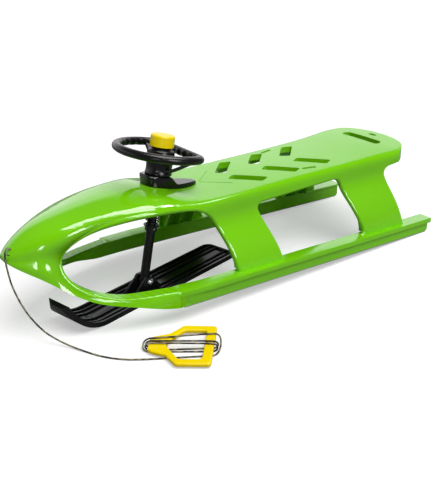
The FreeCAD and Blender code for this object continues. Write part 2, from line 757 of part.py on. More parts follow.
def wheel_rim():
    """Round in front, with two tighter corners and a straight bar on the rider's side."""
    corner_x = RIM_CORNER - RIM_BAR
    corner_y = math.sqrt((RIM_RADIUS - RIM_CORNER) ** 2 - corner_x ** 2)
    turn = math.degrees(math.atan2(corner_y, corner_x))
    front = rim_arc(V(0, 0, 0), RIM_RADIUS, -turn, 2 * turn)
    left = rim_arc(V(corner_x, corner_y, 0), RIM_CORNER, turn, 180 - turn)
    right = rim_arc(V(corner_x, -corner_y, 0), RIM_CORNER, 180, 180 - turn)
    bar = rim_section(-RIM_BAR, -corner_y).extrude(V(0, 2 * corner_y, 0))
    return joined([front, left, right, bar])


def steering_wheel():
    """Rim, dished spokes and hub in one moulding; the post on top guides the horn button."""
    bore = COLUMN_RADIUS + PRESS_FIT
    foot = COVER_TOP + HUB_GAP
    web_top = HUB_WEB + HUB_WEB_THICK
    hub = revolved([(bore, foot), (HUB_FOOT_RADIUS, foot), (HUB_RADIUS, HUB_BELLY),
                    (HUB_RADIUS, HUB_BELLY_TOP), (HUB_SHOULDER_RADIUS, HUB_SHOULDER),
                    (POST_RADIUS, HUB_SHOULDER), (POST_RADIUS, POST_TOP),
                    (POST_BORE, POST_TOP), (POST_BORE, web_top), (SCREW_RADIUS + CLEARANCE, web_top),
                    (SCREW_RADIUS + CLEARANCE, HUB_WEB), (bore, HUB_WEB)])
    inner = HUB_FOOT_RADIUS - SPOKE_SUNK
    top = RIM_HEIGHT + RIM_HALF_THICK / 2
    outline = [V(inner, 0, SPOKE_FOOT), V(RIM_RADIUS, 0, top - SPOKE_THICK), V(RIM_RADIUS, 0, top),
               V(RIM_RADIUS - SPOKE_LEVEL, 0, top), V(inner, 0, SPOKE_FOOT + SPOKE_ROOT_THICK)]
    spokes = []
    for angle in SPOKE_ANGLES:
        spoke = face_of(outline).extrude(V(0, 2 * SPOKE_HALF_WIDTH, 0))
        spoke.translate(V(0, -SPOKE_HALF_WIDTH, 0))
        spoke.rotate(V(0, 0, 0), UP, angle)
        spokes.append(spoke)
    return joined([hub, wheel_rim()] + spokes)


def hub_washer():
    seat = HUB_WEB + HUB_WEB_THICK
    return ring(SCREW_RADIUS, HUB_WASHER_RADIUS, seat, seat + HUB_WASHER_THICK)


def hub_screw():
    seat = HUB_WEB + HUB_WEB_THICK + HUB_WASHER_THICK
    shank = rod(SCREW_RADIUS, HUB_WEB - SCREW_BITE, seat)
    return joined([shank, rod(SCREW_HEAD_RADIUS, seat, seat + SCREW_HEAD)])


def horn_button():
    inner = BUTTON_RADIUS - BUTTON_WALL
    cap = rod(BUTTON_RADIUS, BUTTON_BOTTOM, BUTTON_TOP)
    crown = [e for e in cap.Edges if abs(e.BoundBox.ZMin - BUTTON_TOP) < 0.01]
    return cap.makeFillet(BUTTON_ROUND, crown).cut(rod(inner, BUTTON_BOTTOM, BUTTON_TOP - BUTTON_WALL))


def horn_spring():
    high = BUTTON_TOP - BUTTON_WALL
    return coil_spring(HORN_SPRING_RADIUS, HORN_SPRING_WIRE, HORN_SPRING_TURNS, POST_TOP, high)


def ski_layer(y0, y1, low, high, short=0.0):
    """Layer of the ski, low to high above its sole: flat, then bent up on an arc, short of the tip."""
    bend = math.radians(SKI_TIP_ANGLE) - short / SKI_TIP_RADIUS
    centre = V(SKI_FLAT, y0, SKI_TIP_RADIUS)

    def on_arc(radius, angle):
        return centre + V(radius * math.sin(angle), 0, -radius * math.cos(angle))

    outer = SKI_TIP_RADIUS - low
    inner = SKI_TIP_RADIUS - high
    edges = [line(V(-SKI_REAR, y0, low), on_arc(outer, 0)),
             Part.Arc(on_arc(outer, 0), on_arc(outer, bend / 2), on_arc(outer, bend)).toShape(),
             line(on_arc(outer, bend), on_arc(inner, bend)),
             Part.Arc(on_arc(inner, bend), on_arc(inner, bend / 2), on_arc(inner, 0)).toShape(),
             line(on_arc(inner, 0), V(-SKI_REAR, y0, high)),
             line(V(-SKI_REAR, y0, high), V(-SKI_REAR, y0, low))]
    return Part.Face(Part.Wire(edges)).extrude(V(0, y1 - y0, 0))


def ski_plan(inset):
    """Upright prism on the ski's plan, drawn in by inset."""
    half = SKI_HALF_WIDTH - inset
    tip = SKI_FLAT + SKI_TIP_RADIUS * math.sin(math.radians(SKI_TIP_ANGLE)) - inset
    plan = both_halves([(tip, half, SKI_TIP_CORNER - inset), (inset - SKI_REAR, half, SKI_CORNER - inset)])
    return plan_prism(plan, 0, FAR)


def ski():
    half = SKI_HALF_WIDTH
    tray = ski_layer(-half, half, 0, SKI_RIM).common(ski_plan(0))
    hollow = ski_layer(-half, half, SKI_PLATE, 2 * SKI_RIM, SKI_TIP_RIM)
    tray = tray.cut(hollow.common(ski_plan(SKI_RIM_WIDTH)))
    width = SKI_RIB_WIDTH / 2
    inside = ski_plan(SKI_RIM_WIDTH / 2)
    ribs = [ski_layer(y - width, y + width, SKI_PLATE / 2, SKI_RIB, SKI_TIP_RIM / 2).common(inside)
            for y in SKI_RIB_Y]
    inner = COLUMN_RADIUS + LUG_GAP
    pieces = [tray] + ribs
    for side in (-1, 1):
        y0 = inner if side > 0 else -inner - LUG_THICK
        top = PIVOT_HEIGHT + LUG_TOP_RADIUS
        shoulder = PIVOT_HEIGHT + LUG_TOP_RADIUS / 2
        cheek = face_of([V(-LUG_FOOT_REAR, y0, SKI_PLATE / 2), V(LUG_FOOT_FRONT, y0, SKI_PLATE / 2),
                         V(LUG_TOP_RADIUS, y0, shoulder), V(LUG_TOP_RADIUS / 2, y0, top),
                         V(-LUG_TOP_RADIUS / 2, y0, top), V(-LUG_TOP_RADIUS, y0, shoulder)])
        pieces.append(cheek.extrude(V(0, LUG_THICK, 0)))
        for x in GUSSET_X:
            root = side * (inner + LUG_THICK / 2)
            reach = side * (inner + LUG_THICK + GUSSET_REACH)
            web = face_of([V(x, root, SKI_PLATE / 2), V(x, reach, SKI_PLATE / 2), V(x, root, GUSSET_HEIGHT)])
            pieces.append(web.extrude(V(GUSSET_THICK, 0, 0)))
    shape = joined(pieces)
    bore = rod(BOLT_RADIUS, -THROUGH, THROUGH)
    bore.rotate(V(0, 0, 0), V(1, 0, 0), -90)
    bore.translate(V(0, 0, PIVOT_HEIGHT))
    return shape.cut(bore)


def ski_washers():
    seat = COLUMN_RADIUS + LUG_GAP + LUG_THICK
    left = ring(BOLT_RADIUS, BOLT_WASHER_RADIUS, seat, seat + BOLT_WASHER)
    right = ring(BOLT_RADIUS, BOLT_WASHER_RADIUS, -seat - BOLT_WASHER, -seat)
    return Part.makeCompound([left, right])


def ski_bolt():
    """Dome headed bolt, its head on the left."""
    seat = COLUMN_RADIUS + LUG_GAP + LUG_THICK + BOLT_WASHER
    dome_radius = (BOLT_HEAD_RADIUS ** 2 + BOLT_HEAD ** 2) / (2 * BOLT_HEAD)
    ball = Part.makeSphere(dome_radius, V(0, 0, seat + BOLT_HEAD - dome_radius))
    head = ball.common(rod(BOLT_HEAD_RADIUS, seat, seat + THROUGH))
    return joined([rod(BOLT_RADIUS, -seat - NUT_HEIGHT - BOLT_TAIL, seat), head])


def ski_nut():
    seat = COLUMN_RADIUS + LUG_GAP + LUG_THICK + BOLT_WASHER
    angles = [math.radians(a) for a in range(0, 360, 60)]
    low = -seat - NUT_HEIGHT
    corners = [V(NUT_RADIUS * math.cos(a), NUT_RADIUS * math.sin(a), low) for a in angles]
    return face_of(corners).extrude(UP * NUT_HEIGHT).cut(rod(BOLT_RADIUS, low, -seat))


def handle_placement():
    """Place of the handle's own frame: it lies flat on the strands wound beneath it."""
    middle = FLOOR_GAP + 2 * CORD_RADIUS + WINDING_GAP + HANDLE_THICK / 2
    return FreeCAD.Placement(V(*HANDLE_GRIP, middle), FreeCAD.Rotation(UP, HANDLE_HEADING))


HANDLE_PLACE = handle_placement()


def tow_handle():
    half = HANDLE_THICK / 2
    window = plan_prism(both_halves(HANDLE_WINDOW_HALF), -half, half)
    solid = plan_prism(both_halves(HANDLE_HALF), -half, half).cut(window)
    rims = [e for e in solid.Edges if e.BoundBox.ZLength < 0.01]
    return placed(solid.makeFillet(HANDLE_ROUND, rims), HANDLE_PLACE)


def winding_edges():
    """Strands beneath and above the handle, joined by half turns round its ends, in the handle's frame."""
    reach = HANDLE_THICK / 2 + CORD_RADIUS + WINDING_GAP
    side = -1
    edges = []
    last = None
    for start, end, room in WINDING_STRANDS:
        a = V(*start, side * reach)
        b = V(*end, side * reach)
        way = (b - a).normalize()
        if last:
            before, before_way, before_room = last
            across = (a - before).normalize()
            middle = (a + before) * 0.5 + V(math.copysign(reach + before_room, before_way.x), 0, 0)
            edges += biarc(before, before_way, middle, across) + biarc(middle, across, a, way)
        edges.append(line(a, b))
        last = (b, way, room)
        side = -side
    return edges


def tube(edges, radius):
    path = Part.Wire(edges)
    start = path.Edges[0].firstVertex(True).Point
    way = path.Edges[0].tangentAt(path.Edges[0].FirstParameter)
    section = Part.Wire([Part.Circle(start, way, radius).toShape()])
    return path.makePipeShell([section], True, False)


def tow_winding():
    edges = winding_edges()
    path = Part.Wire(edges)
    points = path.discretize(Distance=1.0)
    apart = 8 * CORD_RADIUS
    gap = min((p - q).Length for i, p in enumerate(points) for q in points[i + int(apart):]) - 2 * CORD_RADIUS
    print("winding gap to itself", round(gap, 2), "length", round(path.Length, 1))
    return placed(tube(edges, CORD_RADIUS), HANDLE_PLACE)


def cord_line(outer):
    """Corner points of the free cord, from the knot in the nose to the winding."""
    seat = cord_seat(outer)
    start = HANDLE_PLACE.multVec(winding_edges()[0].firstVertex(True).Point)
    ahead = HANDLE_PLACE.multVec(winding_edges()[0].lastVertex(True).Point)
    back = (start - ahead).normalize()
    points = [STANCE.multVec(seat), STANCE.multVec(seat + UP * (CORD_HOLE_WALL + CORD_RISE))]
    return points + [V(*p) for p in CORD_POINTS] + [start + back * CORD_LEAD, start]


def tow_cord(outer):
    """Straight runs joined by tangent arcs."""
    points = cord_line(outer)
    edges = []
    here = points[0]
    radii = []
    for before, corner, after in zip(points, points[1:], points[2:]):
        reach = CORD_BEND_SHARE * min((corner - before).Length, (after - corner).Length)
        first = corner + (before - corner).normalize() * reach
        second = corner + (after - corner).normalize() * reach
        edges += [line(here, first), tangent_arc(first, corner, second)]
        radii.append(reach / math.tan((corner - before).getAngle(after - corner) / 2))
        here = second
    edges.append(line(here, points[-1]))
    shape = tube(edges, CORD_RADIUS)
    length = sum(e.Length for e in edges)
    print("cord radii", [round(r, 1) for r in radii], "length", round(length, 1), "volume against section",
          round(shape.Volume / (math.pi * CORD_RADIUS ** 2 * length), 4))
    print("cord runs", [round((b - a).Length, 1) for a, b in zip(points, points[1:])])
    print("cord points", [tuple(round(c, 3) for c in p) for p in points])
    return shape


def tow_knot(outer):
    """Knot in its room under the nose, flat where it bears."""
    seat = cord_seat(outer)
    ball = Part.makeSphere(KNOT_RADIUS, seat - UP * (KNOT_RADIUS - KNOT_FLAT))
    return on_sled(ball.common(Part.makeCylinder(KNOT_ROOM, 4 * KNOT_RADIUS, seat - UP * 4 * KNOT_RADIUS)))


def main():
    os.makedirs("parts", exist_ok=True)
    outer = envelope()
    nodes = {
        "sled_shell": on_sled(sled_shell(outer)),
        "runner_left": on_sled(runner(1)),
        "runner_right": on_sled(runner(-1)),
        "glide_strip_left": on_sled(glide_strip(1)),
        "glide_strip_right": on_sled(glide_strip(-1)),
        "strip_rivets": on_sled(strip_rivets()),
        "base_cover": on_sled(base_cover(outer)),
        "cover_screws": on_sled(cover_screws(outer)),
        "column_bush": on_column(column_bush()),
        "steering_column": steering_column(),
        "column_collar": on_column(column_collar()),
        "collar_pin": on_column(collar_pin()),
        "thrust_washer": on_column(thrust_washer()),
        "suspension_spring": on_column(suspension_spring()),
        "column_top_plug": on_column(column_top_plug()),
        "column_foot_plug": on_column(column_foot_plug()),
        "steering_wheel": on_column(steering_wheel()),
        "hub_washer": on_column(hub_washer()),
        "hub_screw": on_column(hub_screw()),
        "horn_button": on_column(horn_button()),
        "horn_spring": on_column(horn_spring()),
        "ski": on_ski(ski()),
        "ski_washers": across_ski(ski_washers()),
        "ski_bolt": across_ski(ski_bolt()),
        "ski_nut": across_ski(ski_nut()),
        "tow_cord": tow_cord(outer),
        "tow_knot": tow_knot(outer),
        "tow_handle": tow_handle(),
        "tow_winding": tow_winding(),
    }
    for name, shape in nodes.items():
        shape.exportStep("parts/" + name + ".step")
        solids = shape.Solids
        print(name, "valid" if shape.isValid() else "NOT VALID", len(solids), round(shape.Volume))
    axis = STANCE.Rotation.multiply(FreeCAD.Rotation(V(0, 1, 0), -COLUMN_RAKE)).multVec(UP)
    print("column axis", axis, "pivot", PIVOT)


if __name__ == "__main__":
    main()
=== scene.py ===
"""Steering sled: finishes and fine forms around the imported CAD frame, laid out as a Blender add-on.

Metres, in the frame of the CAD part: +X to the nose, +Y to the left, +Z up, floor at Z = 0.
"""
import math

import bmesh
import bpy
import numpy as np
from mathutils import Matrix, Vector
from mathutils.bvhtree import BVHTree


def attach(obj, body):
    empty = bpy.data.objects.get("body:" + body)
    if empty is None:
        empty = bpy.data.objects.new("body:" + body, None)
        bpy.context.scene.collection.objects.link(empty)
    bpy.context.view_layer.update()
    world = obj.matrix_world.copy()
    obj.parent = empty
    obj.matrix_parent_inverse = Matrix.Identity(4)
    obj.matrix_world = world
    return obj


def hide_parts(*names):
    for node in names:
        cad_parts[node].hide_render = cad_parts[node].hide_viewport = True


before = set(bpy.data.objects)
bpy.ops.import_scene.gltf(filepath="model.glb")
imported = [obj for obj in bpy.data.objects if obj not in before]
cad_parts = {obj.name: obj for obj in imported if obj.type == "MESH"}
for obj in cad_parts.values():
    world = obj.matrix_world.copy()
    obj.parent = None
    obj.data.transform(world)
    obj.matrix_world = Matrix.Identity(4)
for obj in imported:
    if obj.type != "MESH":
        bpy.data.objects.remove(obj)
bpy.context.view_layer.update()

bl_info = {
    "name": "Steering sled",
    "version": (1, 0, 0),
    "blender": (4, 5, 0),
    "location": "View3D > Sidebar > Sled",
    "description": "Dresses the steering sled's CAD frame with its finishes, tow line and studio",
    "category": "Object",
}

PHOTO_HEIGHT_PX = 495.0
SENSOR_MM = 36.0

# copies of CAD meshes: distance of doubles, angle up to which faces join, angle from which edges are rounded
MERGE_DISTANCE = 1e-6
FLAT_ANGLE = math.radians(0.6)
SHARP_ANGLE = math.radians(32)
EDGE_SEGMENTS = 3
RUNNER_EDGE = 0.0012
SKI_EDGE = 0.0014

# control points of the free tow cord, from the knot in the nose to the winding on the handle
CORD_POINTS = [
    (0.553630, 0.013, 0.203614), (0.552920, 0.013, 0.217596), (0.565, 0.0175, 0.217),
    (0.5705, 0.0215, 0.199), (0.568, 0.020, 0.164), (0.564, 0.019, 0.130), (0.556, 0.031, 0.092),
    (0.543, 0.051, 0.054), (0.524, 0.080, 0.024), (0.500, 0.116, 0.008), (0.480, 0.154, 0.0023),
    (0.458, 0.202, 0.0022), (0.431, 0.237, 0.0021), (0.399358, 0.263723, 0.0021),
    (0.366565, 0.284834, 0.0021),
]
CORD_ORDER = 3
CORD_RESOLUTION = 24
BRAID_COLUMNS = 24
BRAID_ROWS_PER_LAY = 20

# tow handle's own frame: u from the grip to its narrow end, v across it, w up
HANDLE_GRIP = (0.2547, 0.3262, 0.0095)
HANDLE_HEADING = math.radians(-40.4)
# winding: strands from the handle's middle, extra room of an outer turn, and hold at a long strand's ends
WINDING_REACH = 0.0074
WINDING_OUTSIDE = 0.006
WINDING_HOLD = 0.024
WINDING_LONG = 3 * WINDING_HOLD
# strands as start and end (u, v), beneath and above the handle by turns, and the room added to their turn
WINDING_STRANDS = [
    ((0.112, 0.041), (0.0, 0.026), WINDING_OUTSIDE),
    ((0.0, -0.040), (0.140, -0.014), WINDING_OUTSIDE),
    ((0.140, 0.016), (0.0, 0.010), 0.0),
    ((0.0, 0.002), (0.140, 0.004), 0.0),
    ((0.140, 0.009), (0.0, -0.003), 0.0),
    ((0.0, -0.008), (0.140, -0.005), 0.0),
    ((0.140, 0.0), (0.118, -0.001), 0.0),
]

# the column's own frame: where it crosses the deck, and its directions forward, left and up
COLUMN_FOOT = np.array((0.175604, 0.0, 0.273387))
COLUMN_WAYS = np.array(((0.973548, 0.0, 0.228482), (0.0, 1.0, 0.0), (-0.228482, 0.0, 0.973548)))

# rim's grid, and its finger hollows: how far below inwards they face, their fade, fullness and lift
RIM_STEP = 0.0018
RIM_COLUMNS = 36
CORNER_LEAST_POINTS = 6
HOLLOW_TILT = math.radians(20)
HOLLOW_FADE = 1.5
HOLLOW_FULLNESS = 0.7
HOLLOW_LIFT = 0.25
# hub outline as (radius, height along the column), from its foot up to its post and down into the bore
HUB_OUTLINE = [
    (0.0112, 0.0156), (0.0300, 0.0156), (0.0316, 0.0164), (0.0320, 0.0185), (0.0318, 0.0215),
    (0.0306, 0.0235), (0.0305, 0.0300), (0.0312, 0.0400), (0.0326, 0.0500), (0.0330, 0.0570),
    (0.0326, 0.0650), (0.0314, 0.0710), (0.0300, 0.0736), (0.0252, 0.0740), (0.0250, 0.0925),
    (0.0245, 0.0930), (0.0152, 0.0930), (0.0150, 0.0662),
]
HUB_COLUMNS = 144
# flutes on the hub: their number, depth, lower and upper end, fade at the ends, and least radius they lie on
FLUTES = 24
FLUTE_DEPTH = 0.0007
FLUTE_ENDS = (0.026, 0.055)
FLUTE_FADE = 0.006
FLUTE_RADIUS = 0.028
# spokes: radius and height of their foot, end short of the rim's middle, climb, section and waist
SPOKE_FOOT = (0.026, 0.027)
SPOKE_SHORT = 0.004
SPOKE_CLIMB = 1.25
SPOKE_HALVES = (0.0095, 0.0046)
SPOKE_WAIST = (0.0025, 0.0010)
SPOKE_POWER = 0.6
SPOKE_ROWS = 40
SPOKE_COLUMNS = 28

# the deck's upper side is searched from above and lies higher than this
DECK_LOWEST = 0.225
SEARCH_HEIGHT = 0.6
# cover: powers of its plan, step in x, end of the tongue's chord, depth in the deck, bore's foot and grid
COVER_POWERS = (0.80, 0.58, 0.7)
COVER_STEP = (0.134, 0.156)
COVER_CHORD_END = 0.150
COVER_SINK = 0.0006
COVER_BORE_FOOT = -0.004
COVER_COLUMNS = 160
COVER_TOP_ROWS = 24
COVER_EDGE_ROWS = 9
COVER_SIDE_ROWS = 5

# seat's tail: half width, corner radius in CAD and as drawn, least height, and half width left as it is
TAIL_HALF = 0.142
TAIL_RADII = (0.060, 0.098)
TAIL_LOWEST = 0.16
TAIL_INNER = 0.020
# runner's front: its end, length drawn in, cuts and place of the last, end face and how far that moves on
RUNNER_END = 0.2454
RUNNER_FLOW = 0.080
RUNNER_CUTS = 7
RUNNER_LAST_CUT = 0.012
RUNNER_FACE = 0.008
RUNNER_LONGER = 0.004
# points farther out than this are on the outer face, the others on the flange; how far each is drawn in
RUNNER_OUTER = 0.180
RUNNER_DRAW = (0.0018, 0.0062)

# front openings' nose end in side view (x, z): its ellipse, and its lip's start in x, radius and cap of t
LIP_MIDDLE = (0.32, 0.165)
LIP_HALVES = (0.15, 0.08)
LIP_START = (0.25, 0.41)
LIP_RADIUS = 0.050
LIP_CAP = 0.86
# tread bars: pitch, slant, groove and depth, and where they fade in by upward facing, by height and along x
TREAD_PITCH = 0.017
TREAD_SLANT = 0.3
TREAD_GROOVE = (0.10, 0.36)
TREAD_DEPTH = 0.0006
TREAD_FACING = (0.60, 0.75)
TREAD_TOP = (0.128, 0.136)
TREAD_REAR = (0.085, 0.095)
# matt deck: where it fades in by upward facing, by height and along x, its added roughness and its grain
DECK_FACING = (0.955, 0.985)
DECK_HEIGHT = (0.19, 0.20)
DECK_FRONT = (0.16, 0.20)
DECK_MATT = 0.24
DECK_GRAIN = 0.30
# range that holds most of a noise's values
NOISE_RANGE = (0.3, 0.7)

WHITE = (1.0, 1.0, 1.0, 1.0)
# floor: half side, colour for light thrown back and for the camera, and its glow for the camera
FLOOR_HALF = 12.0
FLOOR_BOUNCE = (0.32, 0.32, 0.32)
FLOOR_SEEN = (0.66, 0.66, 0.66)
FLOOR_GLOW = 0.43
SUN_STRENGTH = 2.65
SUN_ANGLE = math.radians(45.0)
SUN_WAY = (0.10, -0.55, -1.0)
# softboxes, seen only in reflections: name, place, turn in degrees, size and watts
SOFTBOXES = [
    ("side softbox", (0.05, 2.3, 1.00), (-70.0, 0.0, 0.0), (0.8, 0.9), 40.0),
    ("hood softbox", (-0.10, 0.78, 2.2), (-12.0, 0.0, 0.0), (0.9, 0.7), 24.0),
    ("nose softbox", (1.88, 1.93, 0.85), (-78.0, 0.0, -36.0), (0.22, 0.6), 9.0),
    ("shoulder softbox", (-1.15, 0.40, 2.3), (0.0, 0.0, 0.0), (0.36, 0.60), 20.0),
    ("top softbox", (-0.35, 0.10, 2.3), (0.0, 0.0, 0.0), (1.6, 0.60), 42.0),
]
# surround: strength in diffuse light; in reflections two strengths and their range of the way's Y, then Z
WORLD_DIFFUSE = 0.32
WORLD_BEHIND = (1.35, 0.20, -0.35, 0.15)
WORLD_LOW = (1.0, 0.12, 0.48, 0.62)


class SledView(bpy.types.PropertyGroup):
    """Where the photograph was taken from."""

    target: bpy.props.FloatVectorProperty(
        name="Target", description="Point on the optical axis", default=(0.0166, 0.006, 0.0542),
        subtype="XYZ")
    azimuth: bpy.props.FloatProperty(
        name="Azimuth", description="Turn of the camera from +Y towards +X", default=math.radians(34.437),
        subtype="ANGLE")
    elevation: bpy.props.FloatProperty(
        name="Elevation", description="Height angle of the camera", default=math.radians(24.867),
        subtype="ANGLE")
    roll: bpy.props.FloatProperty(
        name="Roll", description="Turn about the optical axis", default=math.radians(-2.367), subtype="ANGLE")
    distance: bpy.props.FloatProperty(
        name="Distance", description="From target to camera", default=2.0002, unit="LENGTH")
    focal_px: bpy.props.FloatProperty(
        name="Focal length", description="In pixels of the 435 by 495 frame", default=781.7)


class SledFinish(bpy.types.PropertyGroup):
    """Colours of the mouldings, the metal and the cord."""

    green: bpy.props.FloatVectorProperty(
        name="Shell green", description="Shell and runners", default=(0.185, 0.600, 0.003), subtype="COLOR")
    black: bpy.props.FloatVectorProperty(
        name="Black", description="Wheel, cover and ski", default=(0.005, 0.005, 0.0056), subtype="COLOR")
    yellow: bpy.props.FloatVectorProperty(
        name="Yellow", description="Button and tow handle", default=(1.000, 0.720, 0.0), subtype="COLOR")
    steel: bpy.props.FloatVectorProperty(
        name="Steel", description="Strips and fasteners", default=(0.560, 0.565, 0.580), subtype="COLOR")
    cord_dark: bpy.props.FloatVectorProperty(
        name="Cord dark", description="Its dark plaits", default=(0.018, 0.016, 0.014), subtype="COLOR")
    cord_fleck: bpy.props.FloatVectorProperty(
        name="Cord fleck", description="Its pale plaits", default=(0.330, 0.290, 0.170), subtype="COLOR")


class SledCord(bpy.types.PropertyGroup):
    """The braided tow cord."""

    diameter: bpy.props.FloatProperty(
        name="Diameter", description="Over the plaits", default=0.004, unit="LENGTH")
    plaits: bpy.props.IntProperty(
        name="Plaits", description="Plaits each way round the cord", default=6)
    lay: bpy.props.FloatProperty(
        name="Lay", description="Length of one turn of a plait", default=0.016, unit="LENGTH")
    relief: bpy.props.FloatProperty(
        name="Relief", description="Depth between plaits as a share of the radius", default=0.14)


class SledWheel(bpy.types.PropertyGroup):
    """The steering wheel."""

    rim_radius: bpy.props.FloatProperty(
        name="Rim radius", description="Middle of the rim's round front", default=0.103, unit="LENGTH")
    bar: bpy.props.FloatProperty(
        name="Bar", description="From the column back to the straight bar", default=0.052, unit="LENGTH")
    corner: bpy.props.FloatProperty(
        name="Corner", description="Radius between the round and the bar", default=0.022, unit="LENGTH")
    half_width: bpy.props.FloatProperty(
        name="Half width", description="Of the rim's section", default=0.0115, unit="LENGTH")
    half_thick: bpy.props.FloatProperty(
        name="Half thickness", description="Of the rim's section", default=0.0100, unit="LENGTH")
    height: bpy.props.FloatProperty(
        name="Rim height", description="Along the column from the deck", default=0.071, unit="LENGTH")
    grip_pitch: bpy.props.FloatProperty(
        name="Grip pitch", description="From one finger hollow to the next", default=0.023, unit="LENGTH")
    grip_depth: bpy.props.FloatProperty(
        name="Grip depth", description="Of the finger hollows inside the rim", default=0.0032, unit="LENGTH")
    spoke_angle: bpy.props.FloatProperty(
        name="Spoke angle", description="From straight ahead to the spoke", default=math.radians(104.0),
        subtype="ANGLE")


class SledCover(bpy.types.PropertyGroup):
    """The base cover on the deck."""

    front: bpy.props.FloatProperty(name="Front", description="Front end", default=0.2140, unit="LENGTH")
    rear: bpy.props.FloatProperty(name="Rear", description="End of the tongue", default=0.0708, unit="LENGTH")
    half_front: bpy.props.FloatProperty(
        name="Half width in front", description="Of the block", default=0.0385, unit="LENGTH")
    half_rear: bpy.props.FloatProperty(
        name="Half width behind", description="Of the tongue", default=0.0140, unit="LENGTH")
    top: bpy.props.FloatProperty(
        name="Top", description="Height of the block along the column", default=0.0149, unit="LENGTH")
    tongue: bpy.props.FloatProperty(
        name="Tongue", description="Thickness of the tongue", default=0.0084, unit="LENGTH")
    rounding: bpy.props.FloatProperty(
        name="Rounding", description="Of the upper edge", default=0.0045, unit="LENGTH")
    bore: bpy.props.FloatProperty(
        name="Bore", description="Radius round the column bush", default=0.0153, unit="LENGTH")


def finish_settings():
    return bpy.context.scene.sled_finish


def cord_settings():
    return bpy.context.scene.sled_cord


def wheel_settings():
    return bpy.context.scene.sled_wheel


def add_object(data):
    """New object of a mesh, curve, lamp or camera, under the same name, linked into the scene."""
    added = bpy.data.objects.new(data.name, data)
    bpy.context.scene.collection.objects.link(added)
    return added


def mesh_points(mesh):
    """Points of a mesh as an array [vertex, xyz]."""
    points = np.empty(len(mesh.vertices) * 3)
    mesh.vertices.foreach_get("co", points)
    return points.reshape(-1, 3)


def move_points(mesh, points):
    """Moves the points of a mesh to those of an array [vertex, xyz]."""
    mesh.vertices.foreach_set("co", points.ravel())
    mesh.update()


def grid_faces(rows, columns, close_rows):
    """Quads of a grid of points, closed round its columns; close_rows joins its last row to its first."""
    row, column = np.meshgrid(np.arange(rows if close_rows else rows - 1), np.arange(columns), indexing="ij")
    next_row, next_column = (row + 1) % rows, (column + 1) % columns
    corners = [row * columns + column, row * columns + next_column,
               next_row * columns + next_column, next_row * columns + column]
    return np.stack(corners, -1).reshape(-1, 4)


def mesh_from_grid(name, points, close_rows=False, uv=None, caps=False):
    """Mesh of a surface given as an array of points [row, column, xyz]; caps shut the first and last row."""
    rows, columns = points.shape[:2]
    faces = grid_faces(rows, columns, close_rows).tolist()
    if caps:
        faces.append(list(range(columns))[::-1])
        faces.append(list(range((rows - 1) * columns, rows * columns)))
    mesh = bpy.data.meshes.new(name)
    mesh.from_pydata(points.reshape(-1, 3).tolist(), [], faces)
    if uv is not None:
        layer = mesh.uv_layers.new(name="UVMap")
        corner = np.empty(len(mesh.loops), dtype=np.int32)
        mesh.loops.foreach_get("vertex_index", corner)
        layer.data.foreach_set("uv", uv.reshape(-1, 2)[corner].astype(np.float32).ravel())
    mesh.shade_smooth()
    mesh.update()
    return mesh


def turn_angles(columns):
    """Angles of evenly spaced points once round a circle."""
    return np.linspace(0.0, 2 * math.pi, columns, endpoint=False)


def signed_power(values, power):
    """Sizes of the values raised to a power, with the values' own signs."""
    return np.sign(values) * np.abs(values) ** power


def smooth_step(values, start, end):
    """Rises from 0 at start to 1 at end as share * share * (3 - 2 * share)."""
    share = np.clip((values - start) / (end - start), 0.0, 1.0)
    return share * share * (3 - 2 * share)


def tube_along(path, radius, columns):
    """Rings of a tube about a path, with a frame carried along it without twist.

    A point is path + radius * (first * cos + second * sin) of its angle; radius is an array [row, column].
    """
    way = np.gradient(path, axis=0)
    way /= np.linalg.norm(way, axis=1, keepdims=True)
    first = np.empty_like(way)
    seed = np.cross(way[0], np.eye(3)[np.argmin(np.abs(way[0]))])
    first[0] = seed / np.linalg.norm(seed)
    for row in range(1, len(way)):
        carried = first[row - 1] - way[row] * (first[row - 1] @ way[row])
        first[row] = carried / np.linalg.norm(carried)
    second = np.cross(way, first)
    angle = turn_angles(columns)
    around = first[:, None] * np.cos(angle)[None, :, None] + second[:, None] * np.sin(angle)[None, :, None]
    return path[:, None] + around * radius[:, :, None]


def even_points(path, step):
    """The same line with points a step apart, by linear interpolation over its length."""
    along = np.concatenate([[0.0], np.cumsum(np.linalg.norm(np.diff(path, axis=0), axis=1))])
    count = max(int(along[-1] / step), 4)
    at = np.linspace(0.0, along[-1], count + 1)
    return np.stack([np.interp(at, along, path[:, k]) for k in range(3)], -1), at


def braided_mesh(name, path):
    """Round cord of two crossing sets of helical plaits.

    The radius sinks by the relief times 1 - height. The height is the larger of two ridges, the sizes of
    cos((plaits * angle - turn) / 2) and cos((plaits * angle + turn) / 2).
    """
    cord = cord_settings()
    points, along = even_points(path, cord.lay / BRAID_ROWS_PER_LAY)
    angle = turn_angles(BRAID_COLUMNS)
    turn = 2 * math.pi * along / cord.lay
    ridges = [np.abs(np.cos(0.5 * cord.plaits * (angle[None, :] + sense * turn[:, None] / cord.plaits)))
              for sense in (-1, 1)]
    height = np.maximum(*ridges)
    radius = 0.5 * cord.diameter * (1 - cord.relief * (1 - height))
    rings = tube_along(points, radius, BRAID_COLUMNS)
    uv = np.stack(np.broadcast_arrays(along[:, None] / cord.lay, angle[None, :] / (2 * math.pi)), -1)
    return mesh_from_grid(name, rings, uv=uv, caps=True)


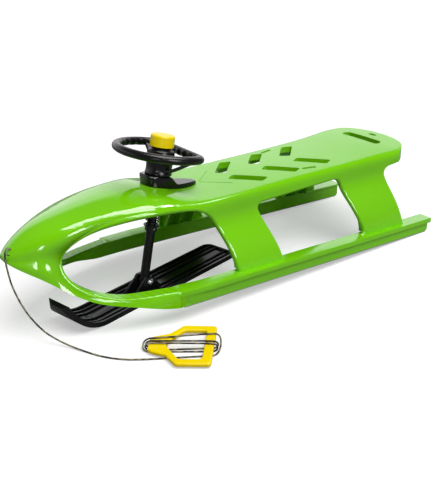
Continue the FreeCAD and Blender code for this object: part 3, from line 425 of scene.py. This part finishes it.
def curve_points(name, points):
    """Points along the smooth NURBS line of some control points."""
    curve = bpy.data.curves.new(name, "CURVE")
    curve.dimensions = "3D"
    curve.resolution_u = CORD_RESOLUTION
    spline = curve.splines.new("NURBS")
    spline.points.add(len(points) - 1)
    spline.points.foreach_set("co", np.hstack([np.array(points), np.ones((len(points), 1))]).ravel())
    spline.order_u = CORD_ORDER
    spline.use_endpoint_u = True
    line = add_object(curve)
    mesh = bpy.data.meshes.new_from_object(line)
    path = mesh_points(mesh)
    bpy.data.objects.remove(line)
    bpy.data.meshes.remove(mesh)
    return path


def winding_points():
    """Control points of the winding: the ends of each strand, and two points on the run of a long one.

    Strands lie beneath and above the handle by turns; their ends are drawn out for the turn between them.
    """
    points = []
    side = -1.0
    lead = np.zeros(3)
    for start, end, room in WINDING_STRANDS:
        first, last = (np.array((*spot, side * WINDING_REACH)) for spot in (start, end))
        run = np.linalg.norm(last - first)
        way = (last - first) / run
        points.append(first + lead)
        if run > WINDING_LONG:
            points += [first + WINDING_HOLD * way, last - WINDING_HOLD * way]
        lead = np.array((math.copysign(WINDING_REACH + room, way[0]), 0.0, 0.0))
        points.append(last + lead)
        side = -side
    points[-1] = last
    handle = np.array(Matrix.Translation(HANDLE_GRIP) @ Matrix.Rotation(HANDLE_HEADING, 4, "Z"))
    return np.array(points) @ handle[:3, :3].T + handle[:3, 3]


def on_column(points):
    """Points of the column's own frame, placed in the sled's."""
    return COLUMN_FOOT + points @ COLUMN_WAYS


def rim_line(step):
    """Middle line of the rim, with its outward directions: a round front, two tight corners and a bar."""
    wheel = wheel_settings()
    corner_x = wheel.corner - wheel.bar
    corner_y = math.sqrt((wheel.rim_radius - wheel.corner) ** 2 - corner_x ** 2)
    turn = math.atan2(corner_y, corner_x)

    def arc(x, y, radius, start, end):
        count = max(int(radius * abs(end - start) / step), CORNER_LEAST_POINTS)
        angle = np.linspace(start, end, count, endpoint=False)
        out = np.stack([np.cos(angle), np.sin(angle)], -1)
        return np.array((x, y)) + radius * out, out

    bar_y = np.linspace(corner_y, -corner_y, int(2 * corner_y / step), endpoint=False)
    parts = [
        arc(0.0, 0.0, wheel.rim_radius, -turn, turn),
        arc(corner_x, corner_y, wheel.corner, turn, math.pi),
        (np.stack([np.full_like(bar_y, -wheel.bar), bar_y], -1), np.tile((-1.0, 0.0), (len(bar_y), 1))),
        arc(corner_x, -corner_y, wheel.corner, math.pi, 2 * math.pi - turn),
    ]
    return np.concatenate([p[0] for p in parts]), np.concatenate([p[1] for p in parts])


def rim_mesh(name):
    """Rim: an oval carried round the closed middle line, its inner lower side hollowed for the fingers.

    The oval is half_width * cos by half_thick * sin of its angle. The hollows are grip_depth times powers of
    a raised cosine wave along the line and of how far the section faces inwards.
    """
    wheel = wheel_settings()
    line, out = rim_line(RIM_STEP)
    steps = np.linalg.norm(np.roll(line, -1, axis=0) - line, axis=1)
    along = np.concatenate([[0.0], np.cumsum(steps)])
    waves = round(along[-1] / wheel.grip_pitch)
    angle = turn_angles(RIM_COLUMNS)
    inner = np.clip(-np.cos(angle - HOLLOW_TILT), 0.0, 1.0) ** HOLLOW_FADE
    wave = 0.5 + 0.5 * np.cos(2 * math.pi * waves * along[:-1] / along[-1])
    hollow = wheel.grip_depth * (wave ** HOLLOW_FULLNESS)[:, None] * inner[None, :]
    across = wheel.half_width * np.cos(angle)[None, :] + hollow
    up = wheel.height + wheel.half_thick * np.sin(angle)[None, :] + HOLLOW_LIFT * hollow
    plan = line[:, None] + out[:, None] * across[:, :, None]
    return mesh_from_grid(name, on_column(np.concatenate([plan, up[:, :, None]], -1)), close_rows=True)


def hub_mesh(name):
    """Hub turned about the column from its outline; shallow flutes run up its side.

    They take FLUTE_DEPTH * (0.5 - 0.5 * cos(FLUTES * angle)) off the radius and fade out at their ends.
    """
    outline = np.array(HUB_OUTLINE)
    height = outline[:, 1]
    low, high = FLUTE_ENDS
    side = np.clip((height - low) / FLUTE_FADE, 0.0, 1.0) * np.clip((high - height) / FLUTE_FADE, 0.0, 1.0)
    side *= outline[:, 0] > FLUTE_RADIUS
    angle = turn_angles(HUB_COLUMNS)
    flute = FLUTE_DEPTH * side[:, None] * (0.5 - 0.5 * np.cos(FLUTES * angle))[None, :]
    radius = outline[:, :1] - flute
    rings = np.stack([radius * np.cos(angle), radius * np.sin(angle),
                      np.broadcast_to(outline[:, 1:], radius.shape)], -1)
    return mesh_from_grid(name, on_column(rings), close_rows=True)


def spoke_mesh(name, side):
    """Spoke: a rounded flat section on a line that leaves the hub low and climbs to the rim.

    Along the line the radius grows evenly and the height as a power of the share. The section is square to
    it: half width and thickness times powers of cos and sin, waisted by a sine along the line.
    """
    wheel = wheel_settings()
    share = np.linspace(0.0, 1.0, SPOKE_ROWS)
    foot_radius, foot_height = SPOKE_FOOT
    radius = foot_radius + (wheel.rim_radius - SPOKE_SHORT - foot_radius) * share
    height = foot_height + (wheel.height - SPOKE_SHORT - foot_height) * share ** SPOKE_CLIMB
    half_width, half_thick = (
        half - waist * np.sin(math.pi * share) for half, waist in zip(SPOKE_HALVES, SPOKE_WAIST))
    angle = turn_angles(SPOKE_COLUMNS)
    slope = np.arctan2(np.gradient(height), np.gradient(radius))
    lift = half_thick[:, None] * signed_power(np.sin(angle), SPOKE_POWER)[None, :]
    out = radius[:, None] - lift * np.sin(slope)[:, None]
    up = height[:, None] + lift * np.cos(slope)[:, None]
    sideways = side * half_width[:, None] * signed_power(np.cos(angle), SPOKE_POWER)[None, :]
    ahead, left = math.cos(wheel.spoke_angle), side * math.sin(wheel.spoke_angle)
    points = np.stack([out * ahead - sideways * left, out * left + sideways * ahead, up], -1)
    if side < 0:
        points = points[:, ::-1]
    return mesh_from_grid(name, on_column(points), caps=True)


def deck_heights(shell, x, y, spare):
    """Height of the shell's upper side under each point of a plan; spare stands in where the bore is."""
    down = Vector((0.0, 0.0, -1.0))
    hits = [shell.ray_cast(Vector((*spot, SEARCH_HEIGHT)), down)[0] for spot in zip(x, y)]
    return np.array([hit.z if hit and hit.z > DECK_LOWEST else other for hit, other in zip(hits, spare)])


def cover_mesh(name):
    """Base cover: rows of points from the bore outwards, over a rounded edge and down to the deck.

    The plan is an egg: x = middle + reach * cos and y = half * sin, with powers of cos and sin; half grows
    from tongue to block with a power of 0.5 + 0.5 * cos. The top is level with the hub's foot round the
    column and falls in a smooth step to the thin tongue, which lies flat along a chord of the deck.
    """
    cover = bpy.context.scene.sled_cover
    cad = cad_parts["sled_shell"].data
    shell = BVHTree.FromPolygons(mesh_points(cad).tolist(), [p.vertices for p in cad.polygons])
    angle = turn_angles(COVER_COLUMNS)
    power_x, power_y, power_half = COVER_POWERS
    middle, reach = 0.5 * (cover.front + cover.rear), 0.5 * (cover.front - cover.rear)
    edge_x = middle + reach * signed_power(np.cos(angle), power_x)
    swing = (0.5 + 0.5 * np.cos(angle)) ** power_half
    half = cover.half_rear + (cover.half_front - cover.half_rear) * swing
    edge_y = half * signed_power(np.sin(angle), power_y)
    edge_deck = deck_heights(shell, edge_x, edge_y, np.full_like(angle, DECK_LOWEST))
    chord_x = (cover.rear, COVER_CHORD_END)
    chord_z = deck_heights(shell, chord_x, (0.0, 0.0), (DECK_LOWEST, DECK_LOWEST))
    chord_slope = (chord_z[1] - chord_z[0]) / (chord_x[1] - chord_x[0])

    def bore_ring(height):
        return on_column(np.stack([cover.bore * np.cos(angle), cover.bore * np.sin(angle),
                                   np.full_like(angle, height)], -1))

    def top_at(x, deck):
        level = COLUMN_FOOT[2] + (cover.top - (x - COLUMN_FOOT[0]) * COLUMN_WAYS[2, 0]) / COLUMN_WAYS[2, 2]
        flat = np.maximum(deck, chord_z[0] + chord_slope * (x - chord_x[0])) + cover.tongue
        return flat + smooth_step(x, *COVER_STEP) * (level - flat)

    bore = bore_ring(cover.top)
    way_x, way_y = edge_x - bore[:, 0], edge_y - bore[:, 1]
    inset = cover.rounding / np.hypot(way_x, way_y)
    spots = [(share * (1 - inset), 0.0) for share in np.linspace(0.0, 1.0, COVER_TOP_ROWS, endpoint=False)]
    spots += [(1 - inset * (1 - math.sin(turn)), cover.rounding * (1 - math.cos(turn)))
              for turn in np.linspace(0.0, 0.5 * math.pi, COVER_EDGE_ROWS)]
    rows = []
    for share, drop in spots:
        x, y = bore[:, 0] + share * way_x, bore[:, 1] + share * way_y
        rows.append(np.stack([x, y, top_at(x, deck_heights(shell, x, y, edge_deck)) - drop], -1))
    edge = rows[-1]
    foot = edge.copy()
    foot[:, 2] = edge_deck - COVER_SINK
    rows += [edge * (1 - share) + foot * share for share in np.linspace(0.0, 1.0, COVER_SIDE_ROWS + 1)[1:]]
    rows.append(bore_ring(COVER_BORE_FOOT))
    return mesh_from_grid(name, np.array(rows), close_rows=True)


def merge_doubles(mesh):
    """Merges the points of a mesh that lie on one another."""
    work = bmesh.new()
    work.from_mesh(mesh)
    bmesh.ops.remove_doubles(work, verts=work.verts, dist=MERGE_DISTANCE)
    work.to_mesh(mesh)
    work.free()


def smooth_copy(node, name):
    """Merged copy of a CAD node's mesh that keeps the normals of its true surfaces at each corner."""
    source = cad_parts[node].data
    mesh = source.copy()
    mesh.name = name
    normals = np.empty(len(source.loops) * 3)
    source.corner_normals.foreach_get("vector", normals)
    mesh.attributes.new("surface", "FLOAT_VECTOR", "CORNER").data.foreach_set("vector", normals)
    merge_doubles(mesh)
    mesh.shade_smooth()
    normals = np.empty(len(mesh.loops) * 3)
    mesh.attributes["surface"].data.foreach_get("vector", normals)
    mesh.normals_split_custom_set(normals.reshape(-1, 3).tolist())
    mesh.attributes.remove(mesh.attributes["surface"])
    return mesh


def softened(node, name, width, cuts=(), plain_from=math.inf):
    """Copy of a CAD node with its sharp edges rounded by a bevel.

    Cuts are places along x where its faces are divided; edges that lie wholly ahead of plain_from stay sharp.
    """
    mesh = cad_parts[node].data.copy()
    mesh.name = name
    merge_doubles(mesh)
    work = bmesh.new()
    work.from_mesh(mesh)
    bmesh.ops.dissolve_limit(work, angle_limit=FLAT_ANGLE, verts=work.verts, edges=work.edges)
    for cut in cuts:
        bmesh.ops.bisect_plane(work, geom=work.verts[:] + work.edges[:] + work.faces[:],
                               plane_co=(cut, 0, 0), plane_no=(1, 0, 0))
    weight = work.edges.layers.float.new("bevel_weight_edge")
    for edge in work.edges:
        plain = min(v.co.x for v in edge.verts) > plain_from
        edge[weight] = float(edge.is_manifold and edge.calc_face_angle() > SHARP_ANGLE and not plain)
    work.to_mesh(mesh)
    work.free()
    mesh.shade_smooth()
    piece = add_object(mesh)
    bevel = piece.modifiers.new("Rounded edges", "BEVEL")
    bevel.width = width
    bevel.segments = EDGE_SEGMENTS
    bevel.limit_method = "WEIGHT"
    bevel.harden_normals = True
    return piece


def rounder_tail(mesh):
    """Draws the seat's rear corners in, from the CAD corner's radius to a larger one.

    The half width at a distance from the tail is half - r + sqrt(r * r - (r - distance) ** 2); points move
    in by the difference of the two, less towards the middle.
    """
    points = mesh_points(mesh)
    x, y, z = points.T
    end = x[z > TAIL_LOWEST].min()

    def half_width(radius):
        inside = np.clip(x - end, 0.0, radius)
        return TAIL_HALF - radius + np.sqrt(np.maximum(radius ** 2 - (radius - inside) ** 2, 0.0))

    before, after = (half_width(radius) for radius in TAIL_RADII)
    share = np.clip((np.abs(y) - TAIL_INNER) / (before - TAIL_INNER), 0.0, 1.0)
    near = (z > TAIL_LOWEST) & (x < end + TAIL_RADII[1])
    points[:, 1] -= np.sign(y) * near * share * (before - after)
    move_points(mesh, points)


def flow_into_band(mesh):
    """Draws a runner's front end in to the shell's band and lengthens it into the band.

    Over the last RUNNER_FLOW metres the outer face and the flange's inner edge go in by a smooth step of x.
    """
    points = mesh_points(mesh)
    x, y, z = points.T
    draw = np.where(np.abs(y) > RUNNER_OUTER, *RUNNER_DRAW)
    points[:, 1] -= np.sign(y) * draw * smooth_step(x, RUNNER_END - RUNNER_FLOW, RUNNER_END)
    points[:, 0] += RUNNER_LONGER * (x > RUNNER_END - RUNNER_FACE)
    move_points(mesh, points)


def new_material(name):
    """Material with its Principled shader and the coordinates of what it is on."""
    material = bpy.data.materials.new(name)
    material.use_nodes = True
    nodes = material.node_tree.nodes
    return material, nodes["Principled BSDF"], nodes.new("ShaderNodeTexCoord").outputs


def feed(node, values):
    """Sets inputs of a node, by name or number, to values or to other nodes' results."""
    for name, value in values.items():
        if isinstance(value, bpy.types.NodeSocket):
            node.id_data.links.new(value, node.inputs[name])
        else:
            node.inputs[name].default_value = value


def noise(vector, scale, detail, roughness=0.5, stretch=None):
    """Noise texture; stretch scales the three directions of its pattern."""
    nodes = vector.id_data.nodes
    if stretch:
        mapping = nodes.new("ShaderNodeMapping")
        feed(mapping, {"Vector": vector, "Scale": stretch})
        vector = mapping.outputs["Vector"]
    node = nodes.new("ShaderNodeTexNoise")
    feed(node, {"Vector": vector, "Scale": scale, "Detail": detail, "Roughness": roughness})
    return node.outputs["Fac"]


def math_node(operation, *values, clamp=False):
    """Result of a math node; its values are numbers or other nodes' results."""
    tree = next(value.id_data for value in values if isinstance(value, bpy.types.NodeSocket))
    node = tree.nodes.new("ShaderNodeMath")
    node.operation = operation
    node.use_clamp = clamp
    feed(node, dict(enumerate(values)))
    return node.outputs["Value"]


def product(first, *others):
    """Product of several values, which are numbers or other nodes' results."""
    for value in others:
        first = math_node("MULTIPLY", first, value)
    return first


def separate(vector):
    """The three parts of a vector."""
    node = vector.id_data.nodes.new("ShaderNodeSeparateXYZ")
    feed(node, {"Vector": vector})
    return [node.outputs[way] for way in "XYZ"]


def spread(value, low, high, from_low=0.0, from_high=1.0):
    """Maps a value's range onto low to high."""
    node = value.id_data.nodes.new("ShaderNodeMapRange")
    feed(node, {"Value": value, "From Min": from_low, "From Max": from_high, "To Min": low, "To Max": high})
    return node.outputs["Result"]


def mix_colour(factor, *tones):
    """Colour between two tones, which are colours or other nodes' results."""
    node = factor.id_data.nodes.new("ShaderNodeMix")
    node.data_type = "RGBA"
    feed(node, {"Factor": factor})
    sockets = [number for number, socket in enumerate(node.inputs) if socket.type == "RGBA"]
    for number, tone in zip(sockets, tones):
        feed(node, {number: tone if isinstance(tone, bpy.types.NodeSocket) else (*tone, 1.0)})
    return next(socket for socket in node.outputs if socket.type == "RGBA")


def bump(shader, height, strength, distance):
    """Bump on the shader, over any bump that it already has."""
    node = shader.id_data.nodes.new("ShaderNodeBump")
    feed(node, {"Height": height, "Strength": strength, "Distance": distance})
    if shader.inputs["Normal"].is_linked:
        feed(node, {"Normal": shader.inputs["Normal"].links[0].from_socket})
    feed(shader, {"Normal": node.outputs["Normal"]})


def tinted(colour, share):
    return tuple(min(max(c * share, 0.0), 1.0) for c in colour)


def moulded_plastic(name, colour, gloss, grain, wear=1.0, specular=0.5):
    """Injection-moulded plastic: flow marks in its colour, uneven gloss, rub marks and a skin grain."""
    material, shader, coordinates = new_material(name)
    place = coordinates["Object"]
    flow = noise(place, scale=7.0, detail=4.0)
    haze = noise(place, scale=24.0, detail=5.0, roughness=0.6)
    rubs = noise(place, scale=60.0, detail=6.0, roughness=0.7, stretch=(0.15, 1.0, 1.0))
    uneven = spread(haze, gloss - 0.05 * wear, gloss + 0.05 * wear, *NOISE_RANGE)
    rubbed = spread(rubs, 0.0, 0.10 * wear, from_low=0.55, from_high=0.80)
    feed(shader, {"Base Color": mix_colour(flow, tinted(colour, 0.93), tinted(colour, 1.06)),
                  "Roughness": math_node("ADD", uneven, rubbed), "Specular IOR Level": specular})
    bump(shader, noise(place, scale=900.0, detail=2.0), strength=grain, distance=0.0006)
    return material


def lip_height(x, z):
    """Height in metres of the rolled lip round the nose end of the front openings.

    The opening's end is an ellipse in side view. With t = 1 - distance from it / radius, held under the cap,
    the skin falls by radius * (1 - sqrt(1 - t * t)), part of a quarter round, and fades in along x.
    """
    (middle_x, middle_z), (half_x, half_z) = LIP_MIDDLE, LIP_HALVES

    def root_of_squares(first, second):
        squares = [math_node("POWER", math_node("ABSOLUTE", v), 2.0) for v in (first, second)]
        return math_node("SQRT", math_node("ADD", *squares))

    across = math_node("DIVIDE", math_node("SUBTRACT", x, middle_x), half_x)
    across = math_node("MAXIMUM", across, 0.0)
    up = math_node("DIVIDE", math_node("SUBTRACT", z, middle_z), half_z)
    oval = root_of_squares(across, up)
    slope = root_of_squares(math_node("DIVIDE", across, half_x), math_node("DIVIDE", up, half_z))
    away = math_node("DIVIDE", product(math_node("SUBTRACT", oval, 1.0), oval), slope)
    near = math_node("SUBTRACT", 1.0, math_node("DIVIDE", away, LIP_RADIUS), clamp=True)
    near = math_node("MINIMUM", near, LIP_CAP)
    level = math_node("SQRT", math_node("SUBTRACT", 1.0, product(near, near)))
    fall = math_node("SUBTRACT", level, 1.0)
    return product(fall, LIP_RADIUS, spread(x, 0.0, 1.0, *LIP_START))


def tread_plastic(name, colour, gloss, grain):
    """Shell plastic with slanted tread bars on the bands, a matt deck and rolled lips at the openings.

    The bars are the size of sin(pi * (x + slant * |y|) / pitch), with a groove where it is small; its colour
    is darkened there as painted shade.
    """
    material = moulded_plastic(name, colour, gloss, grain, wear=0.35)
    nodes = material.node_tree.nodes
    shader = nodes["Principled BSDF"]
    x, y, z = separate(nodes["Texture Coordinate"].outputs["Object"])
    upward = separate(nodes.new("ShaderNodeNewGeometry").outputs["Normal"])[2]
    slant = math_node("ADD", x, product(math_node("ABSOLUTE", y), TREAD_SLANT))
    bars = math_node("ABSOLUTE", math_node("SINE", product(slant, math.pi / TREAD_PITCH)))
    groove_and_shade = product(spread(bars, 1.0, 0.0, *TREAD_GROOVE), spread(upward, 0.0, 1.0, *TREAD_FACING),
                     spread(z, 1.0, 0.0, *TREAD_TOP), spread(x, 0.0, 1.0, *TREAD_REAR))
    deck = product(spread(upward, 0.0, 1.0, *DECK_FACING), spread(z, 0.0, 1.0, *DECK_HEIGHT),
                   spread(x, 1.0, 0.0, *DECK_FRONT))
    tone, smooth = (shader.inputs[made].links[0].from_socket for made in ("Base Color", "Roughness"))
    skin = shader.inputs["Normal"].links[0].from_node
    feed(skin, {"Strength": spread(deck, grain, DECK_GRAIN)})
    # painted shade: in the grooves the colour is mixed halfway towards 0.4 of the shell green, so they read
    # darker
    feed(shader, {"Base Color": mix_colour(product(groove_and_shade, 0.5), tone, tinted(colour, 0.40)),
                  "Roughness": math_node("ADD", smooth, product(deck, DECK_MATT)),
                  "Specular IOR Level": spread(deck, 0.5, 1.0)})
    bump(shader, math_node("SUBTRACT", 1.0, groove_and_shade), strength=0.6, distance=TREAD_DEPTH)
    bump(shader, lip_height(x, z), strength=1.0, distance=1.0)
    return material


def plain_metal(name, colour, gloss, brushed):
    """Metal with brushed streaks in its gloss and faint tarnish in its colour."""
    material, shader, coordinates = new_material(name)
    tarnish = noise(coordinates["Object"], scale=35.0, detail=4.0)
    streaks = noise(coordinates["Object"], scale=120.0, detail=5.0, roughness=0.65, stretch=brushed)
    feed(shader, {"Base Color": mix_colour(tarnish, tinted(colour, 0.86), tinted(colour, 1.05)),
                  "Roughness": spread(streaks, gloss - 0.10, gloss + 0.14, *NOISE_RANGE),
                  "Metallic": 1.0})
    bump(shader, streaks, strength=0.12, distance=0.0003)
    return material


def coated_steel(name, colour, gloss):
    """Black coating on steel: orange peel, and small worn specks that are duller."""
    material, shader, coordinates = new_material(name)
    specks = noise(coordinates["Object"], scale=210.0, detail=6.0, roughness=0.7)
    worn = spread(specks, 0.0, 1.0, from_low=0.62, from_high=0.75)
    feed(shader, {"Base Color": mix_colour(worn, colour, (0.06, 0.06, 0.066)),
                  "Roughness": spread(specks, gloss - 0.06, gloss + 0.16, from_low=0.35, from_high=0.7),
                  "Specular IOR Level": 0.30})
    peel = noise(coordinates["Object"], scale=700.0, detail=2.0)
    bump(shader, peel, strength=0.06, distance=0.0004)
    return material


def braid_cloth(name):
    """Cord skin: each plait has its own shade, picked by its place in the weave on the cord's UV map."""
    finish = finish_settings()
    material, shader, coordinates = new_material(name)
    along, around, _ = separate(coordinates["UV"])
    around = product(around, float(cord_settings().plaits))
    weave = [math_node("FLOOR", math_node(way, around, along)) for way in ("ADD", "SUBTRACT")]
    spot = material.node_tree.nodes.new("ShaderNodeCombineXYZ")
    feed(spot, {"X": weave[0], "Y": weave[1]})
    random = material.node_tree.nodes.new("ShaderNodeTexWhiteNoise")
    random.noise_dimensions = "2D"
    feed(random, {"Vector": spot.outputs["Vector"]})
    fleck = spread(random.outputs["Value"], 0.0, 1.0, from_low=0.66, from_high=0.72)
    fibre = noise(coordinates["UV"], scale=26.0, detail=4.0, roughness=0.7, stretch=(1.0, 6.0, 1.0))
    feed(shader, {"Base Color": mix_colour(fleck, finish.cord_dark, finish.cord_fleck),
                  "Roughness": spread(fibre, 0.70, 0.95, *NOISE_RANGE),
                  "Sheen Weight": 0.25, "Specular IOR Level": 0.25})
    bump(shader, fibre, strength=0.35, distance=0.0003)
    return material


made_finishes = {}


def finish_material(name):
    """The sled's finishes, each made once."""
    finish = finish_settings()
    black, steel = finish.black, finish.steel
    makers = {
        "shell green": lambda: tread_plastic(name, finish.green, gloss=0.09, grain=0.03),
        "runner green": lambda: moulded_plastic(name, finish.green, gloss=0.20, grain=0.05),
        "gloss black": lambda: moulded_plastic(name, black, gloss=0.10, grain=0.04, wear=0.6, specular=0.35),
        "wheel black": lambda: moulded_plastic(name, black, gloss=0.26, grain=0.10, wear=0.8, specular=0.25),
        "ski black": lambda: moulded_plastic(name, black, gloss=0.20, grain=0.08, wear=0.8, specular=0.30),
        "yellow moulding": lambda: moulded_plastic(
            name, finish.yellow, gloss=0.26, grain=0.08, wear=0.8, specular=0.22),
        "strip steel": lambda: plain_metal(name, steel, gloss=0.30, brushed=(0.06, 1.0, 1.0)),
        "zinc fastener": lambda: plain_metal(name, steel, gloss=0.28, brushed=(1.0, 1.0, 0.3)),
        "coated steel": lambda: coated_steel(name, black, gloss=0.30),
        "bush plastic": lambda: moulded_plastic(name, tinted(black, 1.5), gloss=0.45, grain=0.12),
        "cord braid": lambda: braid_cloth(name),
    }
    if name not in made_finishes:
        made_finishes[name] = makers[name]()
    return made_finishes[name]


def dress(name, *nodes):
    """Gives CAD nodes a finish through their own material slots."""
    for node in nodes:
        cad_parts[node].data.materials[0] = finish_material(name)


def show(piece, finish, body, slot, *nodes):
    """Finishes a piece, lets it ride on its body and stand for the CAD nodes it replaces."""
    piece.data.materials.clear()
    piece.data.materials.append(finish_material(finish))
    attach(piece, body)
    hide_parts(*nodes)


def lay_floor():
    """White floor, which throws less light back than the camera sees of it."""
    mesh = bpy.data.meshes.new("floor")
    corners = [(-1, -1), (1, -1), (1, 1), (-1, 1)]
    mesh.from_pydata([(FLOOR_HALF * x, FLOOR_HALF * y, 0.0) for x, y in corners], [], [(0, 1, 2, 3)])
    floor = add_object(mesh)
    material, shader, _ = new_material("floor white")
    seen = material.node_tree.nodes.new("ShaderNodeLightPath").outputs["Is Camera Ray"]
    feed(shader, {"Base Color": mix_colour(seen, FLOOR_BOUNCE, FLOOR_SEEN), "Emission Color": WHITE,
                  "Emission Strength": product(seen, FLOOR_GLOW), "Roughness": 0.9,
                  "Specular IOR Level": 0.0})
    mesh.materials.append(material)


def hang_lamps():
    """Soft sun for the diffuse light, and softboxes for the reflections."""
    sky = bpy.data.lights.new("overhead", "SUN")
    sky.energy = SUN_STRENGTH
    sky.angle = SUN_ANGLE
    sun = add_object(sky)
    sun.rotation_euler = Vector(SUN_WAY).to_track_quat("-Z", "Y").to_euler()
    sun.visible_glossy = False
    for name, place, turn, size, watts in SOFTBOXES:
        lamp = bpy.data.lights.new(name, "AREA")
        lamp.shape = "RECTANGLE"
        lamp.size, lamp.size_y = size
        lamp.energy = watts
        light = add_object(lamp)
        light.location = place
        light.visible_diffuse = False
        light.rotation_euler = [math.radians(degrees) for degrees in turn]


def white_surround():
    """White world for the camera; in reflections it is bright behind the sled and low, and dark above."""
    world = bpy.data.worlds.new("white surround")
    world.use_nodes = True
    nodes = world.node_tree.nodes
    path = nodes.new("ShaderNodeLightPath").outputs
    way = separate(nodes.new("ShaderNodeTexCoord").outputs["Generated"])
    behind, low = spread(way[1], *WORLD_BEHIND), spread(way[2], *WORLD_LOW)
    glossy = product(path["Is Glossy Ray"], behind, low)
    seen = math_node("MAXIMUM", path["Is Camera Ray"], path["Is Glossy Ray"])
    diffuse = product(math_node("SUBTRACT", 1.0, seen), WORLD_DIFFUSE)
    strength = math_node("ADD", math_node("ADD", path["Is Camera Ray"], glossy), diffuse)
    feed(nodes["Background"], {"Color": WHITE, "Strength": strength})
    world.cycles.sampling_method = "NONE"
    return world


class SLED_OT_camera(bpy.types.Operator):
    """Camera at the photograph's viewing angle."""

    bl_idname = "sled.camera"
    bl_label = "Camera"

    def execute(self, context):
        view = context.scene.sled_view
        back = Vector((math.sin(view.azimuth) * math.cos(view.elevation),
                       math.cos(view.azimuth) * math.cos(view.elevation), math.sin(view.elevation)))
        level = Vector((0.0, 0.0, 1.0)).cross(back).normalized()
        right = level * math.cos(view.roll) + back.cross(level) * math.sin(view.roll)
        up = back.cross(right)
        data = bpy.data.cameras.new("photo camera")
        data.sensor_fit = "VERTICAL"
        data.sensor_height = SENSOR_MM
        data.lens = view.focal_px * SENSOR_MM / PHOTO_HEIGHT_PX
        camera = add_object(data)
        turn = Matrix((right, up, back)).transposed().to_4x4()
        camera.matrix_world = Matrix.Translation(Vector(view.target) + back * view.distance) @ turn
        context.scene.camera = camera
        return {"FINISHED"}


class SLED_OT_tow_line(bpy.types.Operator):
    """Braided tow cord from the nose to the handle, and the spare cord wound on it."""

    bl_idname = "sled.tow_line"
    bl_label = "Tow line"

    def execute(self, context):
        path = curve_points("tow_cord_line", CORD_POINTS)
        free = add_object(braided_mesh("tow_cord_braid", path))
        show(free, "cord braid", "sled", "cord", "tow_cord")
        route = curve_points("tow_winding_line", winding_points())
        wound = add_object(braided_mesh("tow_winding_braid", route))
        show(wound, "cord braid", "sled", "cord", "tow_winding")
        dress("cord braid", "tow_knot")
        dress("yellow moulding", "tow_handle")
        return {"FINISHED"}


class SLED_OT_shell(bpy.types.Operator):
    """The moulded shell: rounder rear corners and its finish."""

    bl_idname = "sled.shell"
    bl_label = "Shell"

    def execute(self, context):
        mesh = smooth_copy("sled_shell", "soft_shell")
        rounder_tail(mesh)
        show(add_object(mesh), "shell green", "sled", "green_plastic", "sled_shell")
        return {"FINISHED"}


class SLED_OT_runners(bpy.types.Operator):
    """Runners with rounded edges, their glide strips and rivets."""

    bl_idname = "sled.runners"
    bl_label = "Runners"

    def execute(self, context):
        cuts = np.linspace(RUNNER_END - RUNNER_FLOW, RUNNER_END - RUNNER_LAST_CUT, RUNNER_CUTS)
        for side in ("left", "right"):
            node = "runner_" + side
            runner = softened(node, "soft_" + node, RUNNER_EDGE, cuts, RUNNER_END - RUNNER_FACE)
            flow_into_band(runner.data)
            show(runner, "runner green", "sled", "green_plastic", node)
            dress("strip steel", "glide_strip_" + side)
        dress("zinc fastener", "strip_rivets", "cover_screws")
        return {"FINISHED"}


class SLED_OT_steering(bpy.types.Operator):
    """Base cover, column and its hardware, steering wheel and button."""

    bl_idname = "sled.steering"
    bl_label = "Steering"

    def execute(self, context):
        show(add_object(cover_mesh("cover_shell")), "gloss black", "sled", "black_plastic", "base_cover")
        for mesh in (rim_mesh("wheel_rim"), hub_mesh("wheel_hub"), spoke_mesh("wheel_spoke_left", 1),
                     spoke_mesh("wheel_spoke_right", -1)):
            show(add_object(mesh), "wheel black", "steering", "black_plastic", "steering_wheel")
        dress("coated steel", "steering_column", "column_collar", "suspension_spring", "thrust_washer")
        dress("zinc fastener", "collar_pin", "hub_washer", "hub_screw", "horn_spring")
        dress("bush plastic", "column_bush", "column_top_plug", "column_foot_plug")
        dress("yellow moulding", "horn_button")
        return {"FINISHED"}


class SLED_OT_ski(bpy.types.Operator):
    """Front ski with rounded edges, and its pivot hardware."""

    bl_idname = "sled.ski"
    bl_label = "Front ski"

    def execute(self, context):
        show(softened("ski", "soft_ski", SKI_EDGE), "ski black", "front_ski", "black_plastic", "ski")
        dress("zinc fastener", "ski_bolt", "ski_nut", "ski_washers")
        return {"FINISHED"}


class SLED_OT_stage(bpy.types.Operator):
    """Pale floor, soft lamps and a white surround."""

    bl_idname = "sled.stage"
    bl_label = "Stage"

    def execute(self, context):
        lay_floor()
        hang_lamps()
        context.scene.world = white_surround()
        context.scene.view_settings.view_transform = "Standard"
        return {"FINISHED"}


STEPS = (SLED_OT_camera, SLED_OT_tow_line, SLED_OT_shell, SLED_OT_runners, SLED_OT_steering, SLED_OT_ski,
         SLED_OT_stage)


class SLED_PT_panel(bpy.types.Panel):
    """Steps of dressing the sled."""

    bl_label = "Steering sled"
    bl_idname = "SLED_PT_panel"
    bl_space_type = "VIEW_3D"
    bl_region_type = "UI"
    bl_category = "Sled"

    def draw(self, context):
        for step in STEPS:
            self.layout.operator(step.bl_idname)


GROUPS = {"sled_view": SledView, "sled_finish": SledFinish, "sled_cord": SledCord, "sled_wheel": SledWheel,
          "sled_cover": SledCover}


def register():
    for group in GROUPS.values():
        bpy.utils.register_class(group)
    for name, group in GROUPS.items():
        setattr(bpy.types.Scene, name, bpy.props.PointerProperty(type=group))
    for step in STEPS:
        bpy.utils.register_class(step)
    bpy.utils.register_class(SLED_PT_panel)


def unregister():
    bpy.utils.unregister_class(SLED_PT_panel)
    for step in reversed(STEPS):
        bpy.utils.unregister_class(step)
    for name, group in GROUPS.items():
        delattr(bpy.types.Scene, name)
        bpy.utils.unregister_class(group)


def main():
    register()
    bpy.ops.sled.camera()
    bpy.ops.sled.tow_line()
    bpy.ops.sled.shell()
    bpy.ops.sled.runners()
    bpy.ops.sled.steering()
    bpy.ops.sled.ski()
    bpy.ops.sled.stage()


if __name__ == "__main__":
    main()
